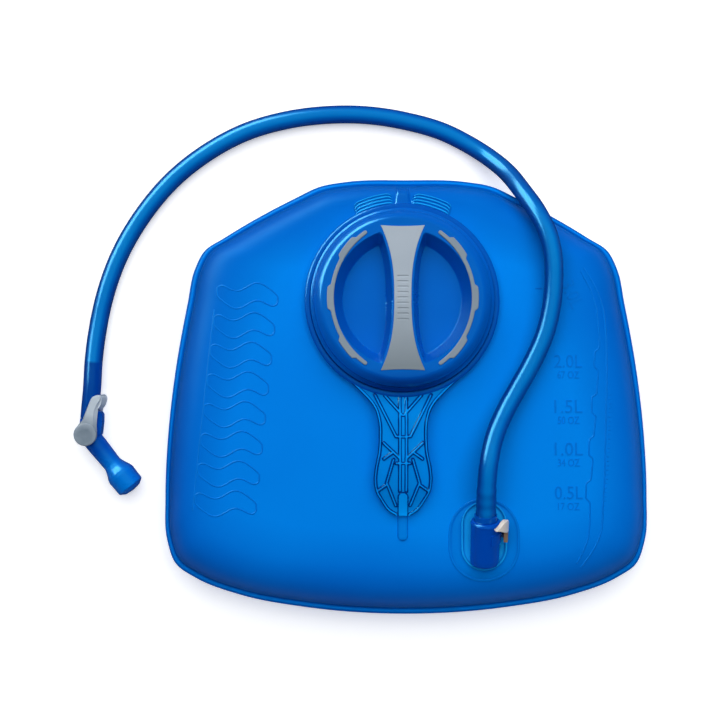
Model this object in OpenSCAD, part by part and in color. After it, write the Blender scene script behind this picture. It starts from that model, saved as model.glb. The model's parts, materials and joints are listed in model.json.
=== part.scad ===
// Hydration bladder: a wide lumbar reservoir lying on its back, with a screw cap, a handle,
// a quick-release outlet, a drink hose and a bite valve with a shut-off lever.
// Millimetres. +Z points up out of the front face, +Y towards the cap end and +X to the outlet side.
// The origin is on the resting surface, under the middle of the bag.

/* [Bag] */
// Width of the bag
bag_w = 289; // [280:1:300]
// Height of the bag, from its bottom edge to its cap end
bag_h = 260; // [254:1:268]
// Height of the welded seam above the resting surface
seam_z = 20; // [17:1:22]
// Wall thickness of each film
film_t = 1.0; // [0.8:0.1:1.4]
// Width of the welded rim
rim_w = 4; // [3:0.5:5]

/* [Fill port] */
// Tilt of the port towards the cap end, in degrees
port_tilt = 3; // [0:0.5:4]
// Inner radius of the port's neck
neck_r = 44.5; // [43:0.5:45]
// Radius of the collar's guard ring
guard_r = 57; // [56.5:0.5:58]
// Height of the cap's top above the bag's film
cap_top = 20.4; // [19:0.2:22]

/* [Handle] */
// Clear height of the finger gap behind the handle
handle_gap = 7; // [5.5:0.5:9]
// Thickness of the handle's web
web_t = 1.6; // [1.2:0.1:2]
// Height of the edge bead and the middle rib above the web
bead_h = 1.2; // [0.6:0.1:1.6]

/* [Outlet] */
// Tilt of the outlet socket above the bag, in degrees
outlet_tilt = 18; // [14:1:20]
// Outer radius of the outlet socket
socket_r = 8.5; // [8.2:0.1:9]
// Radius of the connector's plug
plug_r = 4.6; // [4.4:0.1:4.8]
// Radial running clearance of pieces that slide or turn in a bore
running = 0.05; // [0.02:0.01:0.1]

/* [Hose and mouthpiece] */
// Outer diameter of the hose
hose_d = 11; // [10.5:0.25:11.5]
// Inner diameter of the hose
hose_bore = 7.4; // [7.4:0.1:8]
// Bend between the hose end and the bite valve, in degrees
mouth_bend = 44; // [40:1:48]
// Radius of the lever's round ends
knob_r = 6.9; // [6.5:0.1:7.5]

/* [Hidden] */
$fn = 64;

film_color = [0.0, 0.45, 0.85];
molded_color = [0.02, 0.30, 0.72];
dark_color = [0.01, 0.17, 0.52];
grip_color = [0.60, 0.66, 0.71];
clear_color = [0.15, 0.50, 0.88];
seal_color = [0.85, 0.85, 0.82];
steel_color = [0.75, 0.76, 0.78];

// Right half of the bag's outline at a size of 289 by 260, from the cap end round to the bottom
drawn_w = 289;
drawn_h = 260;
half_outline = [
    [0, 130], [36, 129], [52, 126], [66, 119.4], [109, 95.4], [121, 87.4], [126.5, 77],
    [131, 56], [138.5, 14], [143.2, -30], [144.3, -60], [143.2, -86], [138, -100],
    [126, -108.5], [100, -118.4], [60, -126], [0, -130]
];
outline_steps = 2;

// Fill port: its middle, and the film that it is welded to
port_x = -3;
port_y = 57;
port_z = 37;
flat_r = 60;          // the film is flat inside this radius
level_run = 44;       // below the port the film levels off over this length
edge_roll = 36;       // largest width of the rounded edge
edge_rings = 6;
slope_rings = 3;
weld_t = 0.8;         // half thickness of the welded rim
back_roll = 30;

flange_t = 1.2;
neck_t = 2.7;
neck_h = 13;
guard_t = 2.2;
guard_h = 6.5;
wing_half = 27;       // half width of the wings that tie the collar to the cap end
wing_r = 68;
gasket_h = 1.55;
cap_end_z = 60;       // above everything at the cap end of the bag

cap_floor = 5.5;
cap_wall = 2.2;
skirt_r = 53.6;
pocket_r = 39.5;
floor_r = 34.3;
grip_half_l = 41.8;
grip_waist = 4.9;
grip_end = 12.7;
grip_t = 2.4;
inlay_r = 45.3;
inlay_w = 2.8;
inlay_shift = 5.7;
inlay_angle = 54;
inlay_t = 1.2;
fit_gap = 0.03;       // gap round a piece set into another

handle_x = -2.6;
handle_half = [
    [16, 39], [12, 34], [4, 25.2], [-6, 16.8], [-14, 14.5], [-22, 14.2], [-30, 14.6],
    [-42, 16.8], [-47, 17.2], [-54, 16.2], [-60, 13], [-66, 8.6], [-68.5, 4.6]
];
bead_w = 1.8;
rib_w = 5;
strap_half = 3.1;
strap_end = -80.5;
strap_t = 1.3;

outlet_x = 45;
outlet_y = -70;
outlet_z = 52;
tub_half = 12.2;
tub_t = 1.2;
tub_top = -73.5;      // middles of the tub's two round ends
tub_low = -90;
tub_floor = 34.4;
tub_floor_t = 1.4;
base_half = 20;
base_top = -79;
base_low = -84;
socket_l = 28;
bore_l = 14;
seat_l = 1.5;
chamber_r = 5;
plug_l = 2.5;
foot_at = 21;
foot_r = 4.5;
water_r = 2.4;
latch_z = -5;
latch_t = 1.8;
latch_half = 5.8;
press = 1.5;          // travel of the release button
head_in = socket_r + press + 0.4;
head_out = head_in + 2.9;
poppet_r = 4.3;
poppet_head = 1.8;
poppet_front = -17.2; // front face of the valve's head along the socket
connector_in = 13;
shoulder_z = 3.2;
shoulder_r = 6.6;
barb_l = 17;
barb_r = 3.0;
barb_tip = 3.45;

// Mouthpiece: the turning point of its lever, and the direction of the hose end
mouth_x = -192.5;
mouth_y = -22.5;
mouth_z = 10.8;
mouth_yaw = -5;
chamber_h = 7.6;
chamber_out = 6.4;
rotor_r = 4.5;
inlet_l = 9;
inlet_r = 5.6;
spigot_at = 9;
spigot_end = 26;
spigot_r = 4.2;
arm_in = 7.9;
arm_t = mouth_z - arm_in;
drive_r = 3;
lever_arm = [
    [-5.2, 4.5], [-3.6, 8], [-0.6, 13.4], [0.8, 18.5], [2.6, 22.2], [5.6, 24], [9.2, 23.6],
    [9.8, 20.5], [8, 16.5], [6.6, 11.5], [6.1, 6], [6.6, 2]
];

// The hose's middle line, from the outlet to the mouthpiece
hose_route = [
    [45, -66.9, 53], [45, -60.1, 55.2], [45, -51.5, 58], [46, -38, 59.6], [50, -21, 56],
    [57, -6, 51], [64, 6, 48.3], [72, 20, 47.3], [80, 38, 47.2], [84, 56, 47.2], [85, 69, 47.2],
    [84.5, 83, 47.2], [82, 95, 46], [76, 109, 41.2], [69, 121, 33.5], [59.5, 136, 19.5],
    [48, 147, 10], [36, 155, 6.2], [24, 161, 5.6], [0, 168, 5.6], [-24, 171.6, 5.6],
    [-49, 171.6, 5.6], [-73, 168.4, 5.6], [-98, 161, 5.6], [-122, 148, 5.6], [-142, 132, 5.6],
    [-159, 112, 5.6], [-175, 84.5, 5.6], [-183, 62, 5.6], [-187.6, 40, 6.2], [-189.6, 20, 8.8],
    [-190.1, 5, 10.7], [-190.8, -2.9, 10.8], [-191.7, -13.2, 10.8]
];
hose_steps = 2;
hose_sides = 12;

// ---------- curves ----------

function lerp(a, b, t) = a + (b - a) * t;

// Velocity at b on a curve through a, b and c, which may be unevenly spaced
function bend_through(a, b, c) =
    let (p = norm(b - a), q = norm(c - b))
    ((b - a) / p * q + (c - b) / q * p) / (p + q);

function span_point(a, b, va, vb, t) =
    let (d = norm(b - a), s = t * t * (3 - 2 * t))
    a * (1 - s) + b * s + d * va * (t * (1 - t) * (1 - t)) - d * vb * (t * t * (1 - t));

function closed_curve(p, steps) =
    let (n = len(p), v = [for (i = [0:n - 1]) bend_through(p[(i + n - 1) % n], p[i], p[(i + 1) % n])])
    [for (i = [0:n - 1], k = [0:steps - 1])
        span_point(p[i], p[(i + 1) % n], v[i], v[(i + 1) % n], k / steps)];

function open_curve(p, steps) =
    let (n = len(p), v = [for (i = [0:n - 1])
        i == 0 ? (p[1] - p[0]) / norm(p[1] - p[0])
        : i == n - 1 ? (p[n - 1] - p[n - 2]) / norm(p[n - 1] - p[n - 2])
        : bend_through(p[i - 1], p[i], p[i + 1])])
    concat(
        [for (i = [0:n - 2], k = [0:steps - 1]) span_point(p[i], p[i + 1], v[i], v[i + 1], k / steps)],
        [p[n - 1]]);

function mirrored(half) =
    concat(half, [for (i = [len(half) - 1:-1:0]) if (half[i][0] > 0) [-half[i][0], half[i][1]]]);

// ---------- the bag's surface ----------

bag_outline = [for (p = closed_curve(mirrored(half_outline), outline_steps))
    [p[0] * bag_w / drawn_w, p[1] * bag_h / drawn_h]];
bag_n = len(bag_outline);

// Distance and direction of each outline point from the port's middle
reach = [for (p = bag_outline) norm(p - [port_x, port_y])];
away = [for (i = [0:bag_n - 1]) (bag_outline[i] - [port_x, port_y]) / reach[i]];

function flat_z(y) =
    let (low = port_y - flat_r, s = min(max(low - y, 0), level_run))
    port_z + (port_y - max(y, low) + s - s * s / (2 * level_run)) * tan(port_tilt);

function ring_point(i, r, z) = [port_x + away[i][0] * r, port_y + away[i][1] * r, z];

function on_front(i, r, rise, foot, under) =
    ring_point(i, r, foot + (flat_z(port_y + away[i][1] * r) - under - foot) * rise);

function roll(i, inset) =
    let (l = reach[i] - rim_w - inset - flat_r) edge_roll * l / (l + edge_roll);

// Rings of the front film's face, from the rim to the port; inset and under give its inner face
function front_rings(inset, under, foot) = concat(
    [for (k = [0:edge_rings]) [for (i = [0:bag_n - 1])
        let (a = 90 * k / edge_rings)
        on_front(i, reach[i] - rim_w - inset - roll(i, inset) * (1 - cos(a)), sin(a), foot, under)]],
    [for (k = [1:slope_rings]) [for (i = [0:bag_n - 1])
        on_front(i, lerp(reach[i] - rim_w - inset - roll(i, inset), flat_r, k / slope_rings),
            1, foot, under)]],
    [[for (i = [0:bag_n - 1]) on_front(i, neck_r, 1, foot, under)]]);

function back_rings(inset, floor) =
    [for (k = [0:edge_rings]) [for (i = [0:bag_n - 1])
        let (a = 90 * k / edge_rings, top = floor > 0 ? seam_z : seam_z - weld_t)
        ring_point(i, reach[i] - rim_w - inset - (back_roll - inset) * (1 - cos(a)),
            top - (top - floor) * sin(a))]];

function rim_ring(z) = [for (i = [0:bag_n - 1]) ring_point(i, reach[i], z)];

function backwards(a) = [for (i = [len(a) - 1:-1:0]) a[i]];

// ---------- shapes made from rings ----------

function band_faces(n, count, closed) = [
    for (k = [0:count - (closed ? 1 : 2)], i = [0:n - 1])
        let (a = k * n, b = ((k + 1) % count) * n, j = (i + 1) % n)
        each [[a + i, b + i, b + j], [a + i, b + j, a + j]]];

// Rings joined in order; the last meets the first, so the solid has a hole through it
module ring_loop(rings) {
    n = len(rings[0]);
    polyhedron(points = [for (r = rings) each r], faces = band_faces(n, len(rings), true));
}

// Rings joined in order, with a flat cap on the first and the last
module ring_stack(rings) {
    n = len(rings[0]);
    m = len(rings);
    polyhedron(points = [for (r = rings) each r], faces = concat(
        band_faces(n, m, false),
        [[for (i = [0:n - 1]) i], [for (i = [n - 1:-1:0]) (m - 1) * n + i]]));
}

// Rings of radius r round a line of points, from its start to its end
function swept_rings(path, r, sides) =
    let (m = len(path))
    [for (i = [0:m - 1])
        let (d = path[min(i + 1, m - 1)] - path[max(i - 1, 0)],
            side = cross(d, [0, 0, 1]), u = side / norm(side), w = cross(u, d / norm(d)))
        [for (k = [0:sides - 1]) let (a = 360 * k / sides) path[i] + r * (u * cos(a) + w * sin(a))]];

module coil_spring(r, wire, length, turns) {
    per_turn = 12;
    steps = turns * per_turn;
    sides = 6;
    rings = [for (i = [0:steps])
        let (a = 360 * i / per_turn, z = lerp(wire, length - wire, i / steps))
        [for (k = [0:sides - 1])
            let (b = 360 * k / sides, d = r + wire * cos(b))
            [d * cos(a), d * sin(a), z + wire * sin(b)]]];
    ring_stack(backwards(rings));
}

module tube(outer, inner, z0, z1) {
    rotate_extrude() translate([inner, z0]) square([outer - inner, z1 - z0]);
}

module o_ring(r, section, z) {
    translate([0, 0, z]) rotate_extrude() translate([r, 0]) circle(r = section, $fn = 24);
}

// Hose barbs: cones that widen away from the tip at z1
module barbs(z0, z1, count) {
    step = (z1 - z0) / count;
    for (k = [0:count - 1])
        translate([0, 0, z0 + k * step]) cylinder(h = step * 0.7, r1 = barb_tip, r2 = barb_r);
}

// ---------- placing ----------

module at_port() {
    translate([port_x, port_y, port_z]) rotate([-port_tilt, 0, 0]) children();
}

// Local +Z runs out of the socket's mouth, and local +Y points down into the bag
module at_outlet() {
    translate([outlet_x, outlet_y, outlet_z]) rotate([outlet_tilt - 90, 0, 0]) children();
}

// Local +Y runs up the hose, and +Z is the lever's axis
module at_mouth() {
    translate([mouth_x, mouth_y, mouth_z]) rotate([0, 0, mouth_yaw]) children();
}

// Local +Z runs out along the bite valve
module at_bite() {
    rotate([0, 0, mouth_bend]) rotate([90, 0, 0]) children();
}

// ---------- the bag ----------

module back_film() {
    color(film_color)
    ring_stack(concat(
        backwards(back_rings(film_t, film_t)),
        [rim_ring(seam_z), rim_ring(seam_z - weld_t)],
        back_rings(0, 0)));
}

module front_film() {
    color(film_color)
    difference() {
        ring_loop(concat(
            [rim_ring(seam_z), rim_ring(seam_z + weld_t)],
            front_rings(0, 0, seam_z + weld_t),
            backwards(front_rings(film_t, film_t, seam_z))));
        outlet_oval(tub_half + 0.3, tub_top, tub_low, tub_floor, outlet_z);
    }
}

// ---------- fill port ----------

// Section through the wings that tie the collar to the bag's cap end, following the film
module wing_section() {
    lift = 0.5;
    t = 1.3;
    end = bag_h / 2 - rim_w - 0.6;
    l = bag_h / 2 - port_y - rim_w - flat_r;
    w = edge_roll * l / (l + edge_roll);
    foot = seam_z + weld_t;
    top = flat_z(port_y + guard_r);
    line = concat([[port_y + guard_r - 1, top + lift]],
        [for (a = [90:-15:30]) [bag_h / 2 - rim_w - w * (1 - cos(a)) + lift,
            foot + (top - foot) * sin(a) + lift]]);
    polygon(concat(line, [for (p = backwards(line)) p + [t * 0.5, t]]));
}

module wing_plan() {
    difference() {
        intersection() {
            translate([port_x, port_y]) circle(r = wing_r);
            translate([port_x - wing_half, port_y + 40]) square([2 * wing_half, 40]);
        }
        translate([port_x, port_y]) circle(r = guard_r - 0.6);
    }
}

module port_collar() {
    lug_turn = 50;
    color(molded_color) {
        at_port() {
            tube(guard_r, neck_r, 0, flange_t);
            tube(neck_r + neck_t, neck_r, 0, neck_h);
            tube(guard_r, guard_r - guard_t, 0, guard_h);
            for (a = [20:90:290]) rotate([0, 0, a])
                rotate_extrude(angle = lug_turn) translate([neck_r + neck_t - 0.2, neck_h - 5])
                    polygon([[0, 0], [2, 0.8], [2, 1.8], [0, 2.6]]);
        }
        intersection() {
            rotate([90, 0, 90]) translate([0, 0, port_x - wing_half]) linear_extrude(2 * wing_half)
                wing_section();
            linear_extrude(cap_end_z) wing_plan();
        }
    }
}

module grip_outline(extra) {
    steps = 8;
    edge = [for (k = [-steps:steps])
        let (t = k / steps) [grip_waist + extra + (grip_end - grip_waist) * pow(abs(t), 2.6),
            t * (grip_half_l + extra)]];
    polygon(concat(edge, [for (p = backwards(edge)) [-p[0], p[1]]]));
}

module inlay_shape(side, extra, z0, z1) {
    turn = side > 0 ? 0 : 180;
    rotate([0, 0, turn]) translate([-inlay_shift, 0, 0]) rotate([0, 0, -inlay_angle])
        rotate_extrude(angle = 2 * inlay_angle) translate([inlay_r - extra, z0])
            square([inlay_w + 2 * extra, z1 - z0]);
}

module cap_gasket() {
    color(seal_color) at_port()
        tube(neck_r + neck_t, neck_r + 0.1, neck_h + fit_gap, neck_h + gasket_h);
}

module cap_shell() {
    plateau = cap_top - 0.4;
    land = neck_h + gasket_h + fit_gap;
    color(molded_color) at_port() difference() {
        union() {
            rotate_extrude() polygon([
                [0, cap_floor - cap_wall], [floor_r + cap_wall, cap_floor - cap_wall],
                [neck_r - 1.2, land], [neck_r + neck_t + 1, land],
                [skirt_r - cap_wall, land - 2.5], [skirt_r - cap_wall, 1.8], [skirt_r, 1.8],
                [skirt_r, 8.5], [skirt_r - 0.8, 10], [skirt_r - 2, 11.5],
                [48.6, 17.6], [47.4, 19.2], [45.4, plateau],
                [pocket_r + 0.8, plateau], [pocket_r - 0.4, plateau - 1],
                [floor_r + 0.6, cap_floor + 1], [floor_r - 1, cap_floor], [0, cap_floor]]);
            intersection() {
                translate([0, 0, cap_floor - 1]) linear_extrude(plateau - grip_t - cap_floor + 1)
                    grip_outline(1.6);
                rotate_extrude() polygon([[0, cap_floor - 1], [floor_r + 0.5, cap_floor - 1],
                    [pocket_r + 1.2, plateau], [0, plateau]]);
            }
        }
        translate([0, 0, plateau - grip_t]) linear_extrude(10) grip_outline(fit_gap);
        for (side = [-1, 1]) inlay_shape(side, fit_gap, plateau - inlay_t, plateau + 5);
    }
}

module cap_grip() {
    grooves = 5;
    color(grip_color) at_port() difference() {
        translate([0, 0, cap_top - 0.4 - grip_t]) linear_extrude(grip_t + 0.4) grip_outline(0);
        for (k = [-(grooves - 1) / 2:(grooves - 1) / 2])
            translate([-3, 3.2 * k - 0.6, cap_top - 0.5]) cube([6, 1.2, 2]);
    }
}

module cap_inlay(side) {
    color(grip_color) at_port()
        inlay_shape(side, 0, cap_top - 0.4 - inlay_t, cap_top + 0.3);
}

module cap_inlay_left() {
    cap_inlay(-1);
}

module cap_inlay_right() {
    cap_inlay(1);
}

// ---------- handle ----------

function handle_plan(inset) =
    let (right = open_curve(handle_half, 2))
    concat([for (p = right) [handle_x + max(p[1] - inset, 0.5), max(p[0], right[len(right) - 1][0] + inset)]],
        [for (p = backwards(right))
            [handle_x - max(p[1] - inset, 0.5), max(p[0], right[len(right) - 1][0] + inset)]]);

// Underside of the handle seen from the side: it arches clear of the film and lands on its strap
function handle_under() =
    let (low = flat_z(-60), land = low + strap_t, arch = low + handle_gap)
    open_curve([[16, port_z + 5], [2, port_z + 7.5], [-10, arch - 0.6], [-24, arch], [-40, arch],
        [-53, arch - 2], [-62, land + 1], [-66, land + 0.2], [-70, land + 0.1]], 3);

module handle_slab(t) {
    under = handle_under();
    rotate([90, 0, 90]) translate([0, 0, -50]) linear_extrude(100)
        polygon(concat(under, [for (p = backwards(under)) p + [0, t]]));
}

module handle_prism(inset) {
    linear_extrude(80) polygon(handle_plan(inset));
}

module carry_handle() {
    color(clear_color) difference() {
        union() {
            intersection() {
                handle_slab(web_t);
                handle_prism(0);
            }
            intersection() {
                handle_slab(web_t + bead_h);
                difference() {
                    handle_prism(0);
                    handle_prism(bead_w);
                }
            }
            intersection() {
                handle_slab(web_t + bead_h);
                translate([handle_x - rib_w / 2, -68, 0]) cube([rib_w, 90, 80]);
            }
        }
        translate([port_x, port_y, 0]) cylinder(h = 80, r = guard_r + 0.3, $fn = 128);
    }
}

module handle_anchor() {
    z = flat_z(-60);
    color(clear_color) translate([handle_x, 0, z]) {
        translate([-strap_half, strap_end, 0]) cube([2 * strap_half, -58 - strap_end, strap_t]);
        translate([0, strap_end, 0]) cylinder(h = strap_t, r = strap_half);
    }
}

// ---------- outlet ----------

// Upright block with two round ends, in the bag's frame
module outlet_oval(half_w, top, low, z0, z1) {
    translate([outlet_x, 0, z0]) {
        translate([0, top, 0]) cylinder(h = z1 - z0, r = half_w);
        translate([0, low, 0]) cylinder(h = z1 - z0, r = half_w);
        translate([-half_w, low, 0]) cube([2 * half_w, top - low, z1 - z0]);
    }
}

foot_y = outlet_y - foot_at * cos(outlet_tilt);
foot_z = outlet_z - foot_at * sin(outlet_tilt);

module outlet_base() {
    film = flat_z(-90);
    color(clear_color) difference() {
        union() {
            outlet_oval(base_half, base_top, base_low, film + fit_gap, film + fit_gap + flange_t);
            outlet_oval(tub_half, tub_top, tub_low, tub_floor - tub_floor_t, film + 1);
        }
        outlet_oval(tub_half - tub_t, tub_top, tub_low, tub_floor, film + 10);
        translate([outlet_x, foot_y, 0]) cylinder(h = 60, r = water_r);
    }
}

module outlet_socket() {
    reach_x = 9.5;
    color(dark_color) difference() {
        union() {
            at_outlet() {
                translate([0, 0, -socket_l]) cylinder(h = socket_l - 1, r = socket_r);
                translate([0, 0, -1]) cylinder(h = 1, r1 = socket_r, r2 = socket_r - 0.8);
            }
            translate([outlet_x, foot_y, tub_floor]) cylinder(h = foot_z - tub_floor - 2, r = foot_r);
        }
        at_outlet() {
            translate([0, 0, -bore_l]) cylinder(h = bore_l + 1, r = plug_r + running);
            translate([0, 0, -bore_l - seat_l - 1]) cylinder(h = seat_l + 2, r = 2.6);
            translate([0, 0, -socket_l - 1]) cylinder(h = socket_l - bore_l - seat_l + 1, r = chamber_r);
            translate([-8, -latch_half - 0.2, latch_z - 0.2])
                cube([8 + reach_x, 2 * latch_half + 0.4, latch_t + 0.4]);
        }
        translate([outlet_x, foot_y, tub_floor - 1]) cylinder(h = foot_z - tub_floor + 1, r = water_r);
    }
}

module socket_plug() {
    color(dark_color) at_outlet() difference() {
        translate([0, 0, -socket_l]) cylinder(h = plug_l, r = chamber_r - 0.02);
        translate([0, 0, -socket_l - 1]) cylinder(h = 2, r = 2);
    }
}

module release_button() {
    up = 50;
    down = 25;
    leg_spread = 18;
    color(seal_color) at_outlet() {
        difference() {
            translate([-6, -latch_half, latch_z]) cube([14.5, 2 * latch_half, latch_t]);
            for (x = [0, press]) translate([x, 0, latch_z - 1]) cylinder(h = 4, r = plug_r + 0.3);
            translate([0, -plug_r - 0.3, latch_z - 1]) cube([press, 2 * plug_r + 0.6, 4]);
        }
        translate([8, -3, latch_z]) cube([head_in - 7, 6, latch_t]);
        rotate([0, 0, -up]) rotate_extrude(angle = up + down)
            translate([head_in, -6]) square([head_out - head_in, 7.2]);
        rotate([0, 0, -leg_spread]) rotate_extrude(angle = 2 * leg_spread)
            translate([head_in + 0.5, -12.6]) square([head_out - head_in - 0.5, 7]);
    }
}

module button_spring() {
    color(steel_color) at_outlet() translate([socket_r + 0.05, 0, -9.5]) rotate([0, 90, 0])
        coil_spring(1.4, 0.25, head_in + 0.45 - socket_r, 3);
}

module valve_poppet() {
    tip = -connector_in - 0.05;
    color(seal_color) at_outlet() difference() {
        union() {
            translate([0, 0, poppet_front - poppet_head]) cylinder(h = poppet_head, r = poppet_r);
            translate([0, 0, poppet_front - 0.5]) cylinder(h = tip - poppet_front + 0.5, r = 1.5);
        }
        translate([0, 0, poppet_front - 0.9]) tube(5, 3.8, -0.4, 0.4);
    }
}

module poppet_seal() {
    color(dark_color) at_outlet() o_ring(4.2, 0.36, poppet_front - 0.9);
}

module poppet_spring() {
    color(steel_color) at_outlet() translate([0, 0, plug_l - socket_l + 0.03])
        coil_spring(3, 0.35, socket_l - plug_l + poppet_front - poppet_head - 0.06, 4);
}

module hose_connector() {
    color(molded_color) at_outlet() difference() {
        union() {
            translate([0, 0, -connector_in]) cylinder(h = connector_in + 1, r = plug_r);
            translate([0, 0, 0.3]) cylinder(h = shoulder_z - 0.3, r = shoulder_r);
            translate([0, 0, shoulder_z - 1]) cylinder(h = barb_l + 1, r = barb_r);
            barbs(shoulder_z + 2, shoulder_z + barb_l, 3);
        }
        translate([0, 0, -connector_in - 1])
            cylinder(h = connector_in + shoulder_z + barb_l + 2, r = water_r);
        tube(plug_r + 1, 3.8, -9.8, -8);
        tube(plug_r + 1, 4, latch_z - 0.3, latch_z + latch_t + 0.3);
    }
}

module connector_o_ring() {
    color(dark_color) at_outlet() o_ring(4.2, 0.38, -8.9);
}

// ---------- hose and mouthpiece ----------

module hose() {
    path = open_curve(hose_route, hose_steps);
    color(film_color) ring_loop(concat(
        backwards(swept_rings(path, hose_d / 2, hose_sides)),
        swept_rings(path, hose_bore / 2, hose_sides)));
}

module elbow_body() {
    color(dark_color) at_mouth() difference() {
        union() {
            translate([0, 0, -chamber_h]) cylinder(h = 2 * chamber_h, r = chamber_out);
            rotate([-90, 0, 0]) {
                cylinder(h = inlet_l, r = inlet_r);
                cylinder(h = inlet_l + barb_l, r = barb_r);
                barbs(inlet_l + 2, inlet_l + barb_l, 3);
            }
            at_bite() {
                cylinder(h = spigot_at, r = inlet_r);
                cylinder(h = spigot_end, r = spigot_r - 0.2);
                translate([0, 0, spigot_end - 5]) cylinder(h = 2, r = spigot_r);
            }
        }
        translate([0, 0, -chamber_h - 1]) cylinder(h = 2 * chamber_h + 2, r = rotor_r + running);
        rotate([-90, 0, 0]) cylinder(h = inlet_l + barb_l + 1, r = water_r);
        at_bite() cylinder(h = spigot_end + 1, r = water_r);
    }
}

module valve_rotor() {
    color(seal_color) at_mouth() difference() {
        union() {
            translate([0, 0, -chamber_h]) cylinder(h = 2 * chamber_h, r = rotor_r);
            translate([0, 0, -mouth_z + 0.6]) cylinder(h = 2 * mouth_z - 1.2, r = drive_r);
        }
        rotate([-90, 0, 0]) cylinder(h = rotor_r + 1, r = water_r);
        at_bite() cylinder(h = rotor_r + 1, r = water_r);
        for (z = [-5.8, 5.8]) translate([0, 0, z]) tube(rotor_r + 1, 3.7, -0.45, 0.45);
    }
}

module rotor_seals() {
    color(dark_color) at_mouth() for (z = [-5.8, 5.8]) o_ring(4.1, 0.39, z);
}

module shutoff_lever() {
    arm = closed_curve(lever_arm, 3);
    color(grip_color) at_mouth() {
        for (z = [-mouth_z, arm_in]) translate([0, 0, z]) difference() {
            union() {
                cylinder(h = arm_t, r = knob_r);
                linear_extrude(arm_t) polygon(backwards(arm));
            }
            translate([0, 0, -1]) cylinder(h = arm_t + 2, r = drive_r + 0.02);
        }
        translate([0, 0, -mouth_z]) linear_extrude(2 * mouth_z)
            polygon([[6.3, 14.5], [7.6, 15.5], [9.6, 20], [9.3, 23.3], [7.2, 23.8], [6.3, 22]]);
    }
}

module bite_valve() {
    start = spigot_at + 0.1;
    color(clear_color) at_mouth() at_bite() rotate_extrude() polygon([
        [spigot_r + 0.1, start], [5.9, start], [5.9, 24], [6.6, 26.4], [8, 29.6], [8.7, 31.5],
        [8.6, 40], [8.1, 41.6], [5, 43.2], [0, 43.8], [0, 41.3], [5.4, 40.2], [5.4, 31],
        [spigot_r + 0.1, spigot_end + 1]]);
}

back_film();
front_film();
port_collar();
carry_handle();
handle_anchor();
cap_gasket();
cap_shell();
cap_grip();
cap_inlay_left();
cap_inlay_right();
outlet_base();
outlet_socket();
socket_plug();
release_button();
button_spring();
valve_poppet();
poppet_seal();
poppet_spring();
hose_connector();
connector_o_ring();
hose();
elbow_body();
valve_rotor();
rotor_seals();
shutoff_lever();
bite_valve();
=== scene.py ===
"""Looks of the hydration bladder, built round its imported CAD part.

Shapes are worked out in millimetres and made into meshes in metres. The bag's surface, the hose's
route and the places of the port, the outlet and the mouthpiece are the same as in the CAD source.
"""

import json
import math

import bmesh
import bpy
import numpy as np
from mathutils import Matrix, Vector


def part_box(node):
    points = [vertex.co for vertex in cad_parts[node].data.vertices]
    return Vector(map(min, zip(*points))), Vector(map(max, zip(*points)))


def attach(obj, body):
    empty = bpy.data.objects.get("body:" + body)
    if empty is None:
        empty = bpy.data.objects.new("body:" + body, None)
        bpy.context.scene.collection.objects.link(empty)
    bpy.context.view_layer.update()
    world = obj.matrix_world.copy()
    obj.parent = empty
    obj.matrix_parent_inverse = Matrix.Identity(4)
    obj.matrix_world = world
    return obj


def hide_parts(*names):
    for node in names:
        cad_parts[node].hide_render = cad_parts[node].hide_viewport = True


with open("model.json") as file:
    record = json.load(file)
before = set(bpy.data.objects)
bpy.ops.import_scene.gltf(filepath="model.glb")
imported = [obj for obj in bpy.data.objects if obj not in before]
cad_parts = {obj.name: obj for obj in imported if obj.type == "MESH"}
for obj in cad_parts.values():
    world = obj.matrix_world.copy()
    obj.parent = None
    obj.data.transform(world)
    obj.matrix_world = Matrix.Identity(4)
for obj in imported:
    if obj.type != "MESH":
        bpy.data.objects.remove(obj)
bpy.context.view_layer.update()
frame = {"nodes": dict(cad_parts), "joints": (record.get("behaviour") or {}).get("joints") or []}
JOINTS = {joint["name"]: joint for joint in frame["joints"]}
MM = 0.001



def add_object(name, data):
    """A new object of the scene that holds this mesh, curve, light or camera."""
    obj = bpy.data.objects.new(name, data)
    bpy.context.scene.collection.objects.link(obj)
    return obj


# ---------- camera ----------

CAMERA_SPOT = (-0.0276, 0.0222, 0.87)
# From the camera to the bag's seam, and the width of the view there
CAMERA_RANGE = 0.85
FIELD = 0.432
SENSOR = 36


def make_camera():
    camera = add_object("camera", bpy.data.cameras.new("camera"))
    camera.location = CAMERA_SPOT
    camera.data.sensor_width = SENSOR
    camera.data.lens = SENSOR * CAMERA_RANGE / FIELD
    camera.data.clip_end = 20
    bpy.context.scene.camera = camera


make_camera()

# ---------- curves and outlines ----------


def unit(v):
    return v / np.linalg.norm(v)


def bend(a, b, c):
    """Velocity at b of the curve through a, b and c."""
    p, q = np.linalg.norm(b - a), np.linalg.norm(c - b)
    return ((b - a) / p * q + (c - b) / q * p) / (p + q)


def through(points, steps, closed=False):
    """Points along the smooth curve through these, as the CAD source draws it."""
    p = np.array(points, float)
    n = len(p)
    if closed:
        speed = [bend(p[i - 1], p[i], p[(i + 1) % n]) for i in range(n)]
    else:
        speed = [unit(p[1] - p[0])] + [bend(*p[i - 1:i + 2]) for i in range(1, n - 1)]
        speed.append(unit(p[-1] - p[-2]))
    out = []
    for i in range(n if closed else n - 1):
        a, b, va, vb = p[i], p[(i + 1) % n], speed[i], speed[(i + 1) % n]
        d = np.linalg.norm(b - a)
        for t in np.arange(steps) / steps:
            s = t * t * (3 - 2 * t)
            out.append(a * (1 - s) + b * s + d * va * t * (1 - t) ** 2 - d * vb * t * t * (1 - t))
    if not closed:
        out.append(p[-1])
    return np.array(out)


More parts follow.
